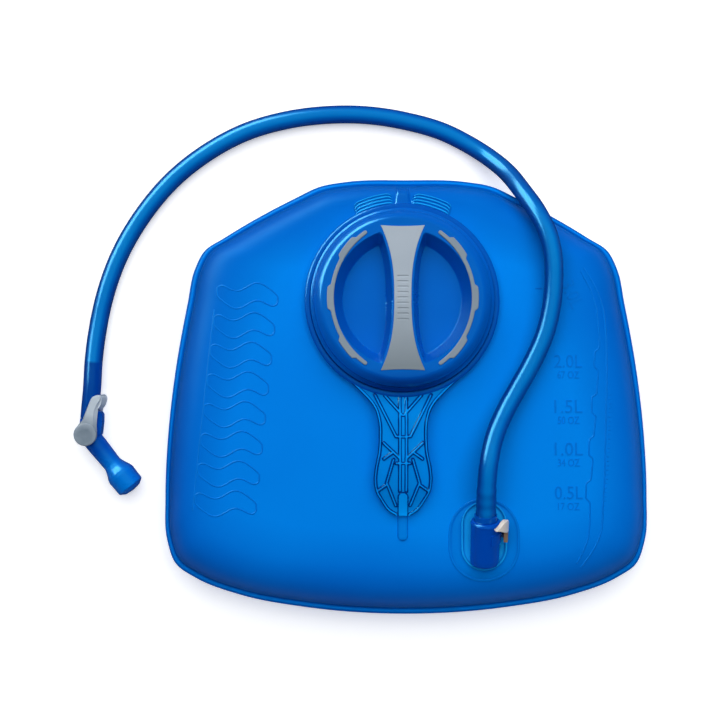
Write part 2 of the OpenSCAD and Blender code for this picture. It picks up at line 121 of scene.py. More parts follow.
def rounded(corners, steps=5, closed=True):
    """Outline through corners (x, y, fillet radius), with an arc in place of each corner."""
    out = []
    n = len(corners)
    for i, (x, y, radius) in enumerate(corners):
        p = np.array((x, y), float)
        if not radius or (not closed and i in (0, n - 1)):
            out.append(p)
            continue
        a = np.array(corners[i - 1][:2]) - p
        b = np.array(corners[(i + 1) % n][:2]) - p
        la, lb = np.linalg.norm(a), np.linalg.norm(b)
        a, b = a / la, b / lb
        half = math.acos(max(-1, min(1, a @ b))) / 2
        t = min(radius / math.tan(half), 0.49 * la, 0.49 * lb)
        r = t * math.tan(half)
        centre = p + unit(a + b) * r / math.sin(half)
        start, end = p + a * t - centre, p + b * t - centre
        first = math.atan2(start[1], start[0])
        turn = math.remainder(math.atan2(end[1], end[0]) - first, math.tau)
        for k in range(steps + 1):
            angle = first + turn * k / steps
            out.append(centre + r * np.array((math.cos(angle), math.sin(angle))))
    return np.array(out)


def rounded_bar(half_x, half_y, fillet, steps, y=0):
    """Rectangle with rounded corners, its middle at (0, y)."""
    return rounded([(-half_x, y - half_y, fillet), (half_x, y - half_y, fillet),
                    (half_x, y + half_y, fillet), (-half_x, y + half_y, fillet)], steps)


def arc(radius, first, last, steps):
    """Points of an arc between two angles in degrees, both ends included."""
    a = np.radians(np.linspace(first, last, steps))
    return radius * np.column_stack([np.cos(a), np.sin(a)])


def circle(radius, steps):
    return arc(radius, 0, 360, steps + 1)[:-1]


def polar(r, a, z):
    """Points at distance r from the Z axis, angle a and height z."""
    return np.stack([r * np.cos(a), r * np.sin(a), z + 0 * a], -1)


def smooth_step(low, high, x):
    t = np.clip((x - low) / (high - low), 0, 1)
    return t * t * (3 - 2 * t)


# ---------- meshes ----------


def grid_faces(rows, cols, wrap=False, first=0, flip=False):
    """Quads of a grid of points stored row by row; wrap joins the last column to the first."""
    r, c = np.meshgrid(np.arange(rows - 1), np.arange(cols if wrap else cols - 1), indexing="ij")
    a, b = r * cols + c, r * cols + (c + 1) % cols
    quads = np.stack([a, b, b + cols, a + cols], -1).reshape(-1, 4) + first
    return (quads[:, ::-1] if flip else quads).tolist()


def slab(top, bottom, wrap=False):
    """Closed solid between two grids of points of the same shape."""
    rows, cols = top.shape[:2]
    n = rows * cols
    points = np.concatenate([top.reshape(-1, 3), bottom.reshape(-1, 3)])
    faces = grid_faces(rows, cols, wrap) + grid_faces(rows, cols, wrap, n, True)
    runs = [np.arange(cols), np.arange(cols) + (rows - 1) * cols]
    if wrap:
        runs = [np.append(run, run[0]) for run in runs]
    else:
        runs += [np.arange(rows) * cols, np.arange(rows) * cols + cols - 1]
    for run in runs:
        faces += [(int(a), int(b), int(b) + n, int(a) + n) for a, b in zip(run, run[1:])]
    return points, faces


def turned(profile, segments=96, closed=True):
    """A profile of (radius, height) turned round the Z axis."""
    profile = np.asarray(profile, float)
    if closed:
        profile = np.vstack([profile, profile[:1]])
    angle = np.arange(segments) * math.tau / segments
    rings = np.stack([np.outer(profile[:, 0], np.cos(angle)), np.outer(profile[:, 0], np.sin(angle)),
                      np.repeat(profile[:, 1:2], segments, 1)], -1)
    return rings.reshape(-1, 3), grid_faces(len(profile), segments, True)


def prism(outline, low, high):
    """An upright solid with a flat top and bottom."""
    outline = np.asarray(outline, float)
    n = len(outline)
    points = [(x, y, z) for z in (low, high) for x, y in outline]
    sides = [(i, (i + 1) % n, n + (i + 1) % n, n + i) for i in range(n)]
    return np.array(points), [tuple(range(n - 1, -1, -1)), tuple(range(n, 2 * n)), *sides]


def loft(outlines, heights):
    """An upright solid through outlines of equally many points, one at each height."""
    n = len(outlines[0])
    points = np.concatenate([np.column_stack([o, np.full(n, h)]) for o, h in zip(outlines, heights)])
    last = n * (len(outlines) - 1)
    return points, grid_faces(len(outlines), n, True) + [tuple(range(n - 1, -1, -1)),
                                                         tuple(range(last, last + n))]


def joined(*parts):
    """Several (points, faces) as one."""
    points, faces, n = [], [], 0
    for p, f in parts:
        points.append(p)
        faces += [tuple(i + n for i in face) for face in f]
        n += len(p)
    return np.concatenate(points), faces


def placed(part, matrix):
    points, faces = part
    m = np.array(matrix)
    return points @ m[:3, :3].T + m[:3, 3], faces


def solid_mesh(name, part, tones=None):
    """Mesh of a closed solid given in millimetres; tones are numbers at its points for its material."""
    points, faces = part
    mesh = bpy.data.meshes.new(name)
    mesh.from_pydata((points * MM).tolist(), [], faces)
    for tone, values in (tones or {}).items():
        mesh.attributes.new(tone, "FLOAT", "POINT").data.foreach_set("value", np.float32(values))
    work = bmesh.new()
    work.from_mesh(mesh)
    bmesh.ops.remove_doubles(work, verts=work.verts, dist=1e-7)
    bmesh.ops.recalc_face_normals(work, faces=work.faces)
    work.to_mesh(mesh)
    work.free()
    return mesh


def piece(name, part, look, body, stands_for=(), bevel=0, sharp=35, tones=None):
    """Makes a mesh piece from points in millimetres; it moves with body and replaces CAD nodes."""
    mesh = solid_mesh(name, part, tones)
    mesh.shade_smooth()
    mesh.set_sharp_from_angle(angle=math.radians(sharp))
    mesh.materials.append(look)
    obj = add_object(name, mesh)
    if bevel:
        edge = obj.modifiers.new("edges", "BEVEL")
        edge.width = bevel * MM
        edge.segments = 3
        edge.limit_method = "ANGLE"
        edge.angle_limit = math.radians(sharp)
    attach(obj, body)
    if stands_for:
        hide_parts(*stands_for)
    return obj


def combine(obj, part, operation="DIFFERENCE"):
    """Takes a solid away from a piece, or with UNION joins it on."""
    other = add_object("other", solid_mesh("other", part))
    shown = [m for m in obj.modifiers if m.show_viewport]
    for modifier in shown:
        modifier.show_viewport = False
    tool = obj.modifiers.new("tool", "BOOLEAN")
    tool.operation = operation
    tool.solver = "EXACT"
    tool.object = other
    bpy.context.view_layer.update()
    graph = bpy.context.evaluated_depsgraph_get()
    obj.data = bpy.data.meshes.new_from_object(obj.evaluated_get(graph), preserve_all_data_layers=True,
                                               depsgraph=graph)
    obj.modifiers.remove(tool)
    for modifier in shown:
        modifier.show_viewport = True
    bpy.data.objects.remove(other)
    obj.data.shade_smooth()
    obj.data.set_sharp_from_angle(angle=math.radians(35))


# ---------- materials ----------


def srgb(r, g, b):
    """Linear colour of an 8-bit screen colour."""
    return tuple(((c / 255 + 0.055) / 1.055) ** 2.4 if c > 10 else c / 255 / 12.92
                 for c in (r, g, b)) + (1.0,)


# Tint of the highlights on blue pieces; white ones would turn their lit edges purple
AZURE = (0.08, 0.75, 1, 1)


class Look:
    """A material and short calls for its nodes."""

    def __init__(self, name, roughness, specular=0.5, coat=0.0, coat_roughness=0.1, tint=None):
        self.material = bpy.data.materials.new(name)
        self.material.use_nodes = True
        self.nodes = self.material.node_tree.nodes
        self.links = self.material.node_tree.links
        self.shader = self.nodes["Principled BSDF"]
        self.shader.inputs["Roughness"].default_value = roughness
        self.shader.inputs["Specular IOR Level"].default_value = specular
        self.shader.inputs["Coat Weight"].default_value = coat
        self.shader.inputs["Coat Roughness"].default_value = coat_roughness
        if tint:
            self.shader.inputs["Specular Tint"].default_value = tint
        self.place = self.nodes.new("ShaderNodeTexCoord").outputs["Object"]

    def node(self, kind, **values):
        made = self.nodes.new("ShaderNode" + kind)
        for key, value in values.items():
            if key in made.inputs:
                made.inputs[key].default_value = value
            else:
                setattr(made, key, value)
        return made

    def noise(self, scale, detail=3.0, stretch=(1, 1, 1)):
        spread = self.node("Mapping", Scale=stretch)
        self.links.new(self.place, spread.inputs["Vector"])
        made = self.node("TexNoise", Scale=scale, Detail=detail)
        self.links.new(spread.outputs["Vector"], made.inputs["Vector"])
        return made.outputs["Fac"]

    def ramp(self, value, stops):
        made = self.nodes.new("ShaderNodeValToRGB")
        self.links.new(value, made.inputs["Fac"])
        band = made.color_ramp
        while len(band.elements) < len(stops):
            band.elements.new(0.5)
        for element, (spot, colour) in zip(band.elements, stops):
            element.position = spot
            element.color = colour if len(colour) == 4 else (*colour, 1)
        return made.outputs["Color"]

    def attribute(self, name):
        return self.node("Attribute", attribute_name=name).outputs["Fac"]

    def mix(self, share, a, b, blend="MIX"):
        """Colours a and b, each a socket or a colour, mixed by share, a socket or a number."""
        made = self.node("Mix", data_type="RGBA", blend_type=blend)
        for socket, value in ((made.inputs[0], share), (made.inputs[6], a), (made.inputs[7], b)):
            if isinstance(value, bpy.types.NodeSocket):
                self.links.new(value, socket)
            else:
                socket.default_value = value
        return made.outputs[2]

    def colour(self, socket):
        self.links.new(socket, self.shader.inputs["Base Color"])

    def bumps(self, *layers):
        """Bump from (height socket, strength, depth in metres) layers."""
        normal = None
        for height, strength, depth in layers:
            made = self.node("Bump", Strength=strength, Distance=depth)
            self.links.new(height, made.inputs["Height"])
            if normal:
                self.links.new(normal, made.inputs["Normal"])
            normal = made.outputs["Normal"]
        self.links.new(normal, self.shader.inputs["Normal"])

    def mapped(self, value, source=(0, 1), target=(0, 1)):
        """The value with its source range brought to the target range."""
        made = self.node("MapRange")
        for name, number in zip(("From Min", "From Max", "To Min", "To Max"), (*source, *target)):
            made.inputs[name].default_value = number
        self.links.new(value, made.inputs["Value"])
        return made.outputs["Result"]

    def in_world(self, output, axis):
        """One axis of the Position or the Normal that a point has in the world."""
        parts = self.node("SeparateXYZ")
        self.links.new(self.node("NewGeometry").outputs[output], parts.inputs["Vector"])
        return parts.outputs[axis]

    def wander(self, share, low, high, foot):
        """Colours between low and high; foot is painted shade, a darker colour they go over to down the bag,
        and its range.
        """
        body = self.mix(share, low, high)
        if foot:
            up = self.mapped(self.in_world("Position", "Y"), (foot[1] * MM, foot[2] * MM))
            body = self.mix(up, foot[0], body)
        self.colour(body)

    def clouded(self, share, body, cloud, low, high):
        """Body with a share of a cloudy pattern that runs from one (spot, colour) stop to another."""
        return self.mix(share, body, self.ramp(cloud, [low, high]))

    def from_mouth(self, low, high, level=1):
        """0 to 1 as the distance from the lever's middle goes from low to high; level 0 takes it flat."""
        scope = self.node("VectorMath", operation="MULTIPLY")
        scope.inputs[1].default_value = (1, 1, level)
        self.links.new(self.place, scope.inputs[0])
        apart = self.node("VectorMath", operation="DISTANCE")
        x, y, z = MOUTH_SPOT
        apart.inputs[1].default_value = (x * MM, y * MM, z * MM * level)
        self.links.new(scope.outputs["Vector"], apart.inputs[0])
        return self.mapped(apart.outputs["Value"], (low * MM, high * MM))

    def roughness(self, value, low, high):
        self.links.new(self.mapped(value, target=(low, high)), self.shader.inputs["Roughness"])


def film_look():
    """Welded film with painted light and shade: by its edge tone it is darker towards its rim and in the
    rim's grooves, and painted light on the rim's bead.
    """
    look = Look("film", 0.36, specular=0.08, tint=AZURE)
    body = look.ramp(look.attribute("edge"), [
        (0, srgb(0, 82, 172)), (0.1, srgb(0, 88, 186)), (0.32, srgb(0, 102, 204)),
        (0.65, srgb(0, 115, 216)), (1, srgb(0, 128, 231))])
    look.colour(look.clouded(0.12, body, look.noise(9, 2), (0.35, srgb(0, 88, 190)),
                             (0.65, srgb(0, 144, 240))))
    look.roughness(look.noise(60), 0.3, 0.44)
    look.bumps((look.noise(1400, 2), 0.06, 0.0002), (look.noise(70, 2), 0.04, 0.001))
    return look.material


def relief_look():
    """Film pressed into ridges and figures, coloured a shade deeper than the film round it: painted shade for
    the shading along their raised edges.
    """
    look = Look("film_relief", 0.4, specular=0.2, tint=AZURE)
    look.colour(look.mix(look.noise(12), srgb(0, 106, 206), srgb(0, 114, 214)))
    look.bumps((look.noise(1400, 2), 0.12, 0.0002))
    return look.material


def gloss_look(name, low, high, roughness=0.2, coat=0.08, specular=0.7, grain=0.05, foot=None):
    """Glossy moulded plastic, with a slow change of colour and the faint waves of its mould; a foot paints
    shade, darker down the bag.
    """
    look = Look(name, roughness, specular=specular, coat=coat, coat_roughness=0.06, tint=AZURE)
    look.wander(look.noise(18, 2), low, high, foot)
    look.roughness(look.noise(90), roughness * 0.8, roughness * 1.3)
    look.bumps((look.noise(900, 2), grain, 0.0002), (look.noise(45, 1), 0.04, 0.001))
    return look.material


def soft_look(name, low, high, roughness=0.55, grain=0.25, foot=None):
    """Matte rubber or soft-touch plastic with a fine spark-eroded grain; a foot paints shade, darker down the
    bag.
    """
    look = Look(name, roughness, specular=0.3)
    look.wander(look.noise(35, 4), low, high, foot)
    look.roughness(look.noise(300), roughness * 0.85, min(1, roughness * 1.2))
    look.bumps((look.noise(2200, 3), grain, 0.0001), (look.noise(240, 2), 0.08, 0.0002))
    return look.material


def lever_look():
    """Grey moulded plastic with painted light and shade: darker on the knobs and painted lighter out along
    the arms.
    """
    look = Look("lever_grey", 0.36, specular=0.4, coat=0.15)
    tint = look.ramp(look.from_mouth(3, 13, 0), [(0, srgb(100, 118, 133)), (0.35, srgb(128, 143, 157)),
                                                 (1, srgb(184, 196, 207))])
    look.colour(look.clouded(0.12, tint, look.noise(260, 4), (0.3, srgb(120, 136, 150)),
                             (0.7, srgb(200, 210, 219))))
    look.roughness(look.noise(200), 0.3, 0.45)
    look.bumps((look.noise(1500, 3), 0.15, 0.0001))
    return look.material


def steel_look():
    look = Look("drawn_steel", 0.25)
    look.shader.inputs["Metallic"].default_value = 1
    look.colour(look.mix(look.noise(400, 2, (1, 1, 12)), srgb(175, 178, 182), srgb(214, 216, 220)))
    look.roughness(look.noise(700), 0.18, 0.34)
    look.bumps((look.noise(3000), 0.1, 0.00005))
    return look.material


def clear_look(name, stops, low, high):
    """Clear tinted moulding: see-through where its cover tone is low; its colour follows a tone of painted
    light and shade, such as dark lines on rib flanks.
    """
    look = Look(name, 0.14, specular=0.8, tint=AZURE)
    look.colour(look.ramp(look.attribute("painted_light_shade"), stops))
    cover = look.mapped(look.attribute("cover"), target=(low, high))
    look.links.new(cover, look.shader.inputs["Alpha"])
    look.bumps((look.noise(600, 2), 0.04, 0.0002), (look.noise(60, 1), 0.08, 0.001))
    return look.material


def hose_look():
    """Tinted hose with painted light and shade by how far each face turns up: its sides are painted deep, for
    its wall seen edge-on there, and its top is painted light.

    Its last stretch is pushed over a dark spigot, which shows through.
    """
    look = Look("hose", 0.24, specular=0.6, coat=0.05, coat_roughness=0.1, tint=AZURE)
    # Painted shade on faces that turn away from up, painted light on the top
    tint = look.ramp(look.in_world("Normal", "Z"), [
        (0.25, srgb(0, 36, 116)), (0.6, srgb(0, 52, 144)),
        (0.86, srgb(0, 92, 182)), (0.97, srgb(0, 116, 200))])
    tint = look.clouded(0.1, tint, look.noise(25, 2), (0.3, srgb(0, 60, 150)), (0.7, srgb(10, 160, 230)))
    look.colour(look.mix(look.from_mouth(44.5, 43), tint, srgb(0, 58, 150)))
    look.bumps((look.noise(500, 2), 0.05, 0.0002), (look.noise(40, 1), 0.05, 0.001))
    return look.material


def silicone_look():
    """Tinted silicone with painted light and shade: deeper in colour on faces that turn away from up, for its
    wall seen edge-on, and darker towards its root at the elbow.
    """
    look = Look("silicone", 0.26, specular=0.7, coat=0.1, tint=AZURE)
    body = look.ramp(look.in_world("Normal", "Z"), [
        (0.05, srgb(0, 48, 138)), (0.4, srgb(0, 78, 182)),
        (0.75, srgb(0, 104, 208)), (1, srgb(0, 118, 218))])
    tint = look.clouded(0.15, body, look.noise(90, 2), (0.3, srgb(0, 84, 190)), (0.7, srgb(0, 130, 226)))
    # Painted shade on the sleeve's root by the elbow
    look.colour(look.mix(look.from_mouth(14, 26), srgb(0, 70, 172), tint))
    look.roughness(look.noise(150), 0.22, 0.34)
    look.bumps((look.noise(900, 2), 0.06, 0.0002), (look.noise(60, 1), 0.06, 0.001))
    return look.material


MOUTH_SPOT = tuple(c / MM for c in JOINTS["lever_turn"]["pos_m"])
PORT = np.array(JOINTS["cap_turn"]["pos_m"]) / MM
LOOKS = {
    "film": film_look(),
    "relief": relief_look(),
    # The cap goes darker towards its lower side: painted shade of its slopes that face down the bag
    "cap": gloss_look("cap_blue", srgb(0, 86, 182), srgb(0, 96, 200),
                      foot=(srgb(0, 48, 138), PORT[1] - 51, PORT[1] - 39)),
    "collar": gloss_look("collar_blue", srgb(0, 74, 172), srgb(0, 86, 188)),
    "dark": gloss_look("socket_blue", srgb(0, 66, 172), srgb(0, 78, 190)),
    # Ramps of painted light and shade: clear paints dark lines on rib flanks and borders, wing paints light
    # ridge crests, tub paints a light lip and tub wall
    "clear": clear_look("clear_moulding", [(0, srgb(0, 156, 255)), (0.25, srgb(0, 100, 200)),
                                           (0.6, srgb(0, 50, 140)), (1, srgb(0, 26, 96))], 0.45, 1),
    "wing": clear_look("clear_wing", [(0, srgb(30, 178, 250)), (0.4, srgb(0, 118, 214)),
                                      (1, srgb(0, 78, 172))], 0.7, 0.95),
    "tub": clear_look("clear_flange", [(0, srgb(0, 124, 224)), (0.5, srgb(0, 106, 206)),
                                       (1, srgb(20, 164, 246))], 0.9, 1),
    "fitting": gloss_look("fitting_blue", srgb(0, 74, 174), srgb(0, 86, 188), 0.16),
    "hose": hose_look(),
    "silicone": silicone_look(),
    # The grip bar goes darker towards its lower end: painted shade
    "grip": soft_look("soft_grey", srgb(152, 164, 176), srgb(170, 181, 192),
                      foot=(srgb(116, 128, 136), PORT[1] - 38, PORT[1] + 4)),
    "inlay": soft_look("inlay_grey", srgb(118, 132, 145), srgb(134, 148, 160)),
    "lever": lever_look(),
    "button": soft_look("button_cream", srgb(216, 206, 194), srgb(230, 221, 212), 0.4, 0.12),
    "leg": soft_look("button_tan", srgb(140, 112, 88), srgb(156, 128, 104), 0.45, 0.12),
    "seal": soft_look("seal", srgb(196, 200, 198), srgb(222, 224, 220), 0.5, 0.15),
    "steel": steel_look(),
}

for node, look in {
    "cap_gasket": "seal", "socket_plug": "dark", "button_spring": "steel",
    "valve_poppet": "seal", "poppet_seal": "seal", "poppet_spring": "steel", "hose_connector": "fitting",
    "connector_o_ring": "seal", "valve_rotor": "lever", "rotor_seals": "seal",
}.items():
    carried = frame["nodes"][node].data.materials
    carried.clear()
    carried.append(LOOKS[look])

# ---------- the bag's surface ----------

PORT_TILT = math.atan2(*JOINTS["cap_turn"]["axis"][1:])
SEAM_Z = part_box("front_film")[0].z / MM
HALF_OUTLINE = [
    (0, 130), (36, 129), (52, 126), (66, 119.4), (109, 95.4), (121, 87.4), (126.5, 77),
    (131, 56), (138.5, 14), (143.2, -30), (144.3, -60), (143.2, -86), (138, -100),
    (126, -108.5), (100, -118.4), (60, -126), (0, -130),
]
RIM_W = 4
WELD_T = 0.8
FILM_T = 1
FLAT_R = 60
LEVEL_RUN = 44
EDGE_ROLL = 36
BACK_ROLL = 30
# How far in from the rim the film's painted shade reaches
PAINTED_SHADE_RUN = 48
NECK_R = 44.5
GUARD_R = 57

mirror = [(-x, y) for x, y in HALF_OUTLINE[::-1] if x > 0]
outline = through(HALF_OUTLINE + mirror, 8, closed=True)
away = outline - PORT[:2]
reach = np.linalg.norm(away, axis=1)
away = away / reach[:, None]
bearing = np.arctan2(away[:, 1], away[:, 0])
by_bearing = np.argsort(bearing)


def flat_z(y):
    """Height of the bag's face away from its edge."""
    low = PORT[1] - FLAT_R
    s = np.clip(low - y, 0, LEVEL_RUN)
    return PORT[2] + (PORT[1] - np.maximum(y, low) + s - s * s / (2 * LEVEL_RUN)) * math.tan(PORT_TILT)


def roll(to_edge, inset=0):
    """How far in the rolled edge reaches; less where the outline runs close to the port."""
    room = to_edge - RIM_W - inset - FLAT_R
    return EDGE_ROLL * room / (room + EDGE_ROLL)


def ripple(x, y):
    """The slack film's slow rise and fall, none of it under the collar."""
    far = smooth_step(FLAT_R, FLAT_R + 22, np.hypot(x - PORT[0], y - PORT[1]))
    return far * (0.12 * np.sin(x / 23 + 0.6) * np.sin(y / 19 + 1.1) + 0.06 * np.sin((x + 0.7 * y) / 11))


def film_z(x, y):
    """Height of the front film's face over any point of the bag."""
    dx, dy = x - PORT[0], y - PORT[1]
    r = np.hypot(dx, dy)
    to_edge = np.interp(np.arctan2(dy, dx), bearing[by_bearing], reach[by_bearing], period=math.tau)
    w = roll(to_edge)
    cosine = np.clip((r - (to_edge - RIM_W - w)) / w, 0, 1)
    sine = np.sqrt(1 - cosine ** 2)
    foot = SEAM_Z + WELD_T
    return foot + (flat_z(y) + ripple(x, y) - foot) * sine


def ring(r, z):
    """Points round the port at distance r along each bearing, at height z or a function of the point."""
    x, y = PORT[0] + away[:, 0] * r, PORT[1] + away[:, 1] * r
    return np.stack([x, y, z(x, y) if callable(z) else z + 0 * x], -1)


def front_film():
    """Upper film: a welded rim with a bead, a rolled edge and a face that is flat round the port."""
    # Distance in from the edge, height over the seam, and tone of painted light and shade: 0 paints shade at
    # the rim's outer roll and groove, 1 paints light on the bead's top
    rim = [
        (0, 0.02, 0), (0, 0.3, 0), (0.12, 0.52, 0), (0.35, 0.66, 0), (0.8, 0.72, 0.15),
        (1.15, 0.8, 0.4), (1.45, 1.04, 0.85), (1.75, 1.26, 1), (2.1, 1.34, 1), (2.45, 1.26, 1),
        (2.75, 1.02, 0.7), (3.05, 0.78, 0.2), (3.4, 0.68, 0), (3.75, 0.68, 0),
    ]
    top, under, edge = [], [], []
    for inset, height, tone in rim:
        top.append(ring(reach - inset, SEAM_Z + height))
        under.append(ring(reach - inset, SEAM_Z))
        edge.append(np.full(len(reach), tone))
    foot = SEAM_Z + WELD_T

    def rise(share, drop, base):
        return lambda x, y: base + (flat_z(y) + ripple(x, y) - drop - base) * share

    for angle in np.radians(np.linspace(0, 90, 19)):
        back = 1 - math.cos(angle)
        out_r = reach - RIM_W - roll(reach) * back
        in_r = reach - RIM_W - FILM_T - roll(reach, FILM_T) * back
        top.append(ring(out_r, rise(math.sin(angle), 0, foot)))
        under.append(ring(in_r, rise(math.sin(angle), FILM_T, SEAM_Z)))
        edge.append(reach - RIM_W - out_r)
    for share in np.linspace(0, 1, 22)[1:]:
        out_r = (reach - RIM_W - roll(reach)) * (1 - share) + FLAT_R * share
        top.append(ring(out_r, rise(1, 0, foot)))
        under.append(ring(out_r, rise(1, FILM_T, SEAM_Z)))
        edge.append(reach - RIM_W - out_r)
    for r in (55, 50, NECK_R + 0.3):
        top.append(ring(r, rise(1, 0, foot)))
        under.append(ring(r, rise(1, FILM_T, SEAM_Z)))
        edge.append(reach - RIM_W - r)
    # Painted shade: the roll's tone rises from dark at the rim to full colour inward
    tone = edge[:len(rim)] + [np.clip(row / PAINTED_SHADE_RUN, 0, 1) for row in edge[len(rim):]]
    return piece("bag_front_film", slab(np.stack(top), np.stack(under), True), LOOKS["film"], "bag",
                 ["front_film"], sharp=50, tones={"edge": np.concatenate(tone * 2)})


def back_film():
    """Lower film: a plainer rim, a round edge and the faintly dimpled flat that the bag lies on."""
    rim = [(0, 0.02), (0, 0.3), (0.12, 0.52), (0.35, 0.66), (0.8, 0.72), (1.5, 0.95), (2.1, 1.1),
           (2.7, 0.95), (3.3, 0.74), (3.75, 0.72)]
    top, under = [], []
    for inset, height in rim:
        under.append(ring(reach - inset, SEAM_Z - height))
        top.append(ring(reach - inset, SEAM_Z))
    for angle in np.radians(np.linspace(0, 90, 15)):
        back = 1 - math.cos(angle)
        under.append(ring(reach - RIM_W - BACK_ROLL * back, (SEAM_Z - WELD_T) * (1 - math.sin(angle))))
        top.append(ring(reach - RIM_W - FILM_T - (BACK_ROLL - FILM_T) * back,
                        SEAM_Z - (SEAM_Z - FILM_T) * math.sin(angle)))

    def dimple(x, y, share):
        return 0.12 * (1 + np.sin(x / 17) * np.sin(y / 14 + 0.8)) * share

    for share in np.linspace(0, 1, 13)[1:]:
        r = (reach - RIM_W - BACK_ROLL) * (1 - share)
        lift = math.sin(math.pi * share)
        under.append(ring(r, lambda x, y: dimple(x, y, lift)))
        top.append(ring(r, lambda x, y: FILM_T + dimple(x, y, lift)))
    rows = np.stack(under)
    inward = reach - np.linalg.norm(rows[:, :, :2] - PORT[:2], axis=2)
    # Painted shade, darker towards the rim, as on the front film
    tone = np.clip((inward - RIM_W) / PAINTED_SHADE_RUN, 0, 1).ravel()
    return piece("bag_back_film", slab(np.stack(top), rows, True), LOOKS["film"], "bag",
                 ["back_film"], sharp=50, tones={"edge": np.concatenate([tone, tone])})


# ---------- ridges and figures raised on the film ----------


def ridge(line, width, height, closed=False):
    """A low rounded ridge on the film along a line of points (x, y)."""
    line = np.asarray(line, float)
    if closed:
        line = np.vstack([line, line[:1]])
    length = np.append(0, np.cumsum(np.linalg.norm(np.diff(line, axis=0), axis=1)))
    at = np.linspace(0, length[-1], max(3, round(length[-1] / 1.6)) + 1)
    if closed:
        at = at[:-1]
    x, y = np.interp(at, length, line[:, 0]), np.interp(at, length, line[:, 1])
    path = np.stack([x, y], 1)
    ahead = np.roll(path, -1, 0) - np.roll(path, 1, 0)
    if not closed:
        ahead[0], ahead[-1] = path[1] - path[0], path[-1] - path[-2]
    side = np.stack([-ahead[:, 1], ahead[:, 0]], 1) / np.linalg.norm(ahead, axis=1)[:, None]
    top, under = [], []
    for across, lift in ((-0.5, -0.1), (-0.32, 0.6), (-0.12, 0.97), (0.12, 0.97), (0.32, 0.6), (0.5, -0.1)):
        p = path + side * across * width
        z = film_z(p[:, 0], p[:, 1])
        top.append(np.column_stack([p, z + lift * height]))
        under.append(np.column_stack([p, z - 0.3]))
    return slab(np.stack(top), np.stack(under), closed)


def figures(text, height, width, centre, turn=0):
    """Raised figures, of that height and of that width in all, lying on the film."""
    curve = bpy.data.curves.new("figures", "FONT")
    curve.body = text
    curve.size = 1
    curve.resolution_u = 3
    curve.extrude = 0.5
    shape = add_object("figures", curve)
    bpy.context.view_layer.update()
    mesh = bpy.data.meshes.new_from_object(shape.evaluated_get(bpy.context.evaluated_depsgraph_get()))
    p = np.array([v.co for v in mesh.vertices])
    faces = [tuple(f.vertices) for f in mesh.polygons]
    bpy.data.objects.remove(shape)
    low, high = p.min(0), p.max(0)
    flat = (p[:, :2] - (low + high)[:2] / 2) * np.array((width, height)) / (high - low)[:2]
    c, s = math.cos(math.radians(turn)), math.sin(math.radians(turn))
    x = centre[0] + flat[:, 0] * c - flat[:, 1] * s
    y = centre[1] + flat[:, 0] * s + flat[:, 1] * c
    z = film_z(x, y) + np.where(p[:, 2] > 0, FIGURE_H, -0.3)
    return np.column_stack([x, y, z]), faces


FIGURE_H = 0.3
LEVELS = [("2.0L", "67 OZ", 21.6), ("1.5L", "50 OZ", -5), ("1.0L", "34 OZ", -29.8), ("0.5L", "17 OZ", -55.4)]
LABEL_X = 94.5


def raised(name, parts):
    """Ridges and figures as one piece that stays on the bag."""
    return piece(name, joined(*parts), LOOKS["relief"], "bag")


def volume_scale():
    """Litres, with ounces below each, down the bag's right side."""
    parts = [figures("3.0L", 8, 16, (97.5, 61), -66)]
    for litres, ounces, y in LEVELS:
        parts.append(figures(litres, 7.6, 16.4, (LABEL_X, y)))
        parts.append(figures(ounces, 4.4, 12.6, (LABEL_X, y - 8)))
    return raised("volume_scale", parts)


def gauge_band():
    """Two lines beside the scale, the inner one stepping in at each level, and a column of ticks."""
    outer = [(104, 76.5), (110.5, 66), (115.2, 54), (117, 40), (117.2, 22), (116.2, -20), (114.6, -62),
             (113, -80), (108.5, -90), (102, -99.5)]
    inner = [(102.3, 74.5), (108, 64), (111.6, 52), (113, 36)]
    for k, (_, _, y) in enumerate(LEVELS):
        main = 112.9 - 1.8 * k
        inner += [(main, y + 7.5), (main - 2.7, y + 5.5), (main - 3, y - 3.5), (main - 0.6, y - 5.5)]
    inner += [(107, -72), (106, -82), (103, -90), (99.5, -97)]
    parts = [ridge(through(outer, 6), 1.1, 0.3), ridge(inner, 1.1, 0.3)]
    for k in range(30):
        y = 2 - 2.6 * k
        x = 119.4 - 0.0006 * (y - 20) ** 2
        parts.append(ridge([(x - 0.7, y), (x, y), (x + 0.7, y)], 0.7, 0.2))
    parts.append(ridge([(75.5, 64.3), (77.5, 64.3), (79.5, 64.3)], 1, 0.25))
    return raised("gauge_band", parts)


def wave_relief():
    """A column of wave ribbons down the bag's left side, with a margin line beside it."""
    parts = []
    for k in range(8):
        y0 = 60 - 17.4 * k
        x0 = -94 - 1.75 * k
        x = np.linspace(-18, 18, 25)
        swell = 2.4 * np.sin(x / 36 * math.tau * 1.5)
        taper = 5.2 * np.clip(1 - (x / 18.6) ** 6, 0, 1) ** 0.5
        loop = np.vstack([np.column_stack([x0 + x, y0 + swell + taper]),
                          np.column_stack([x0 + x, y0 + swell - taper])[::-1]])
        parts.append(ridge(loop, 1.1, 0.26, closed=True))
    parts.append(ridge([(-113.5, 52), (-119.5, -8), (-125.5, -66)], 1.2, 0.26))
    return raised("wave_relief", parts)


# ---------- collar and cap ----------

AT_PORT = Matrix.Translation(Vector(PORT)) @ Matrix.Rotation(-PORT_TILT, 4, "X")
NECK_OUT = 46.8
LUG_TURNS = (20, 110, 200, 290)


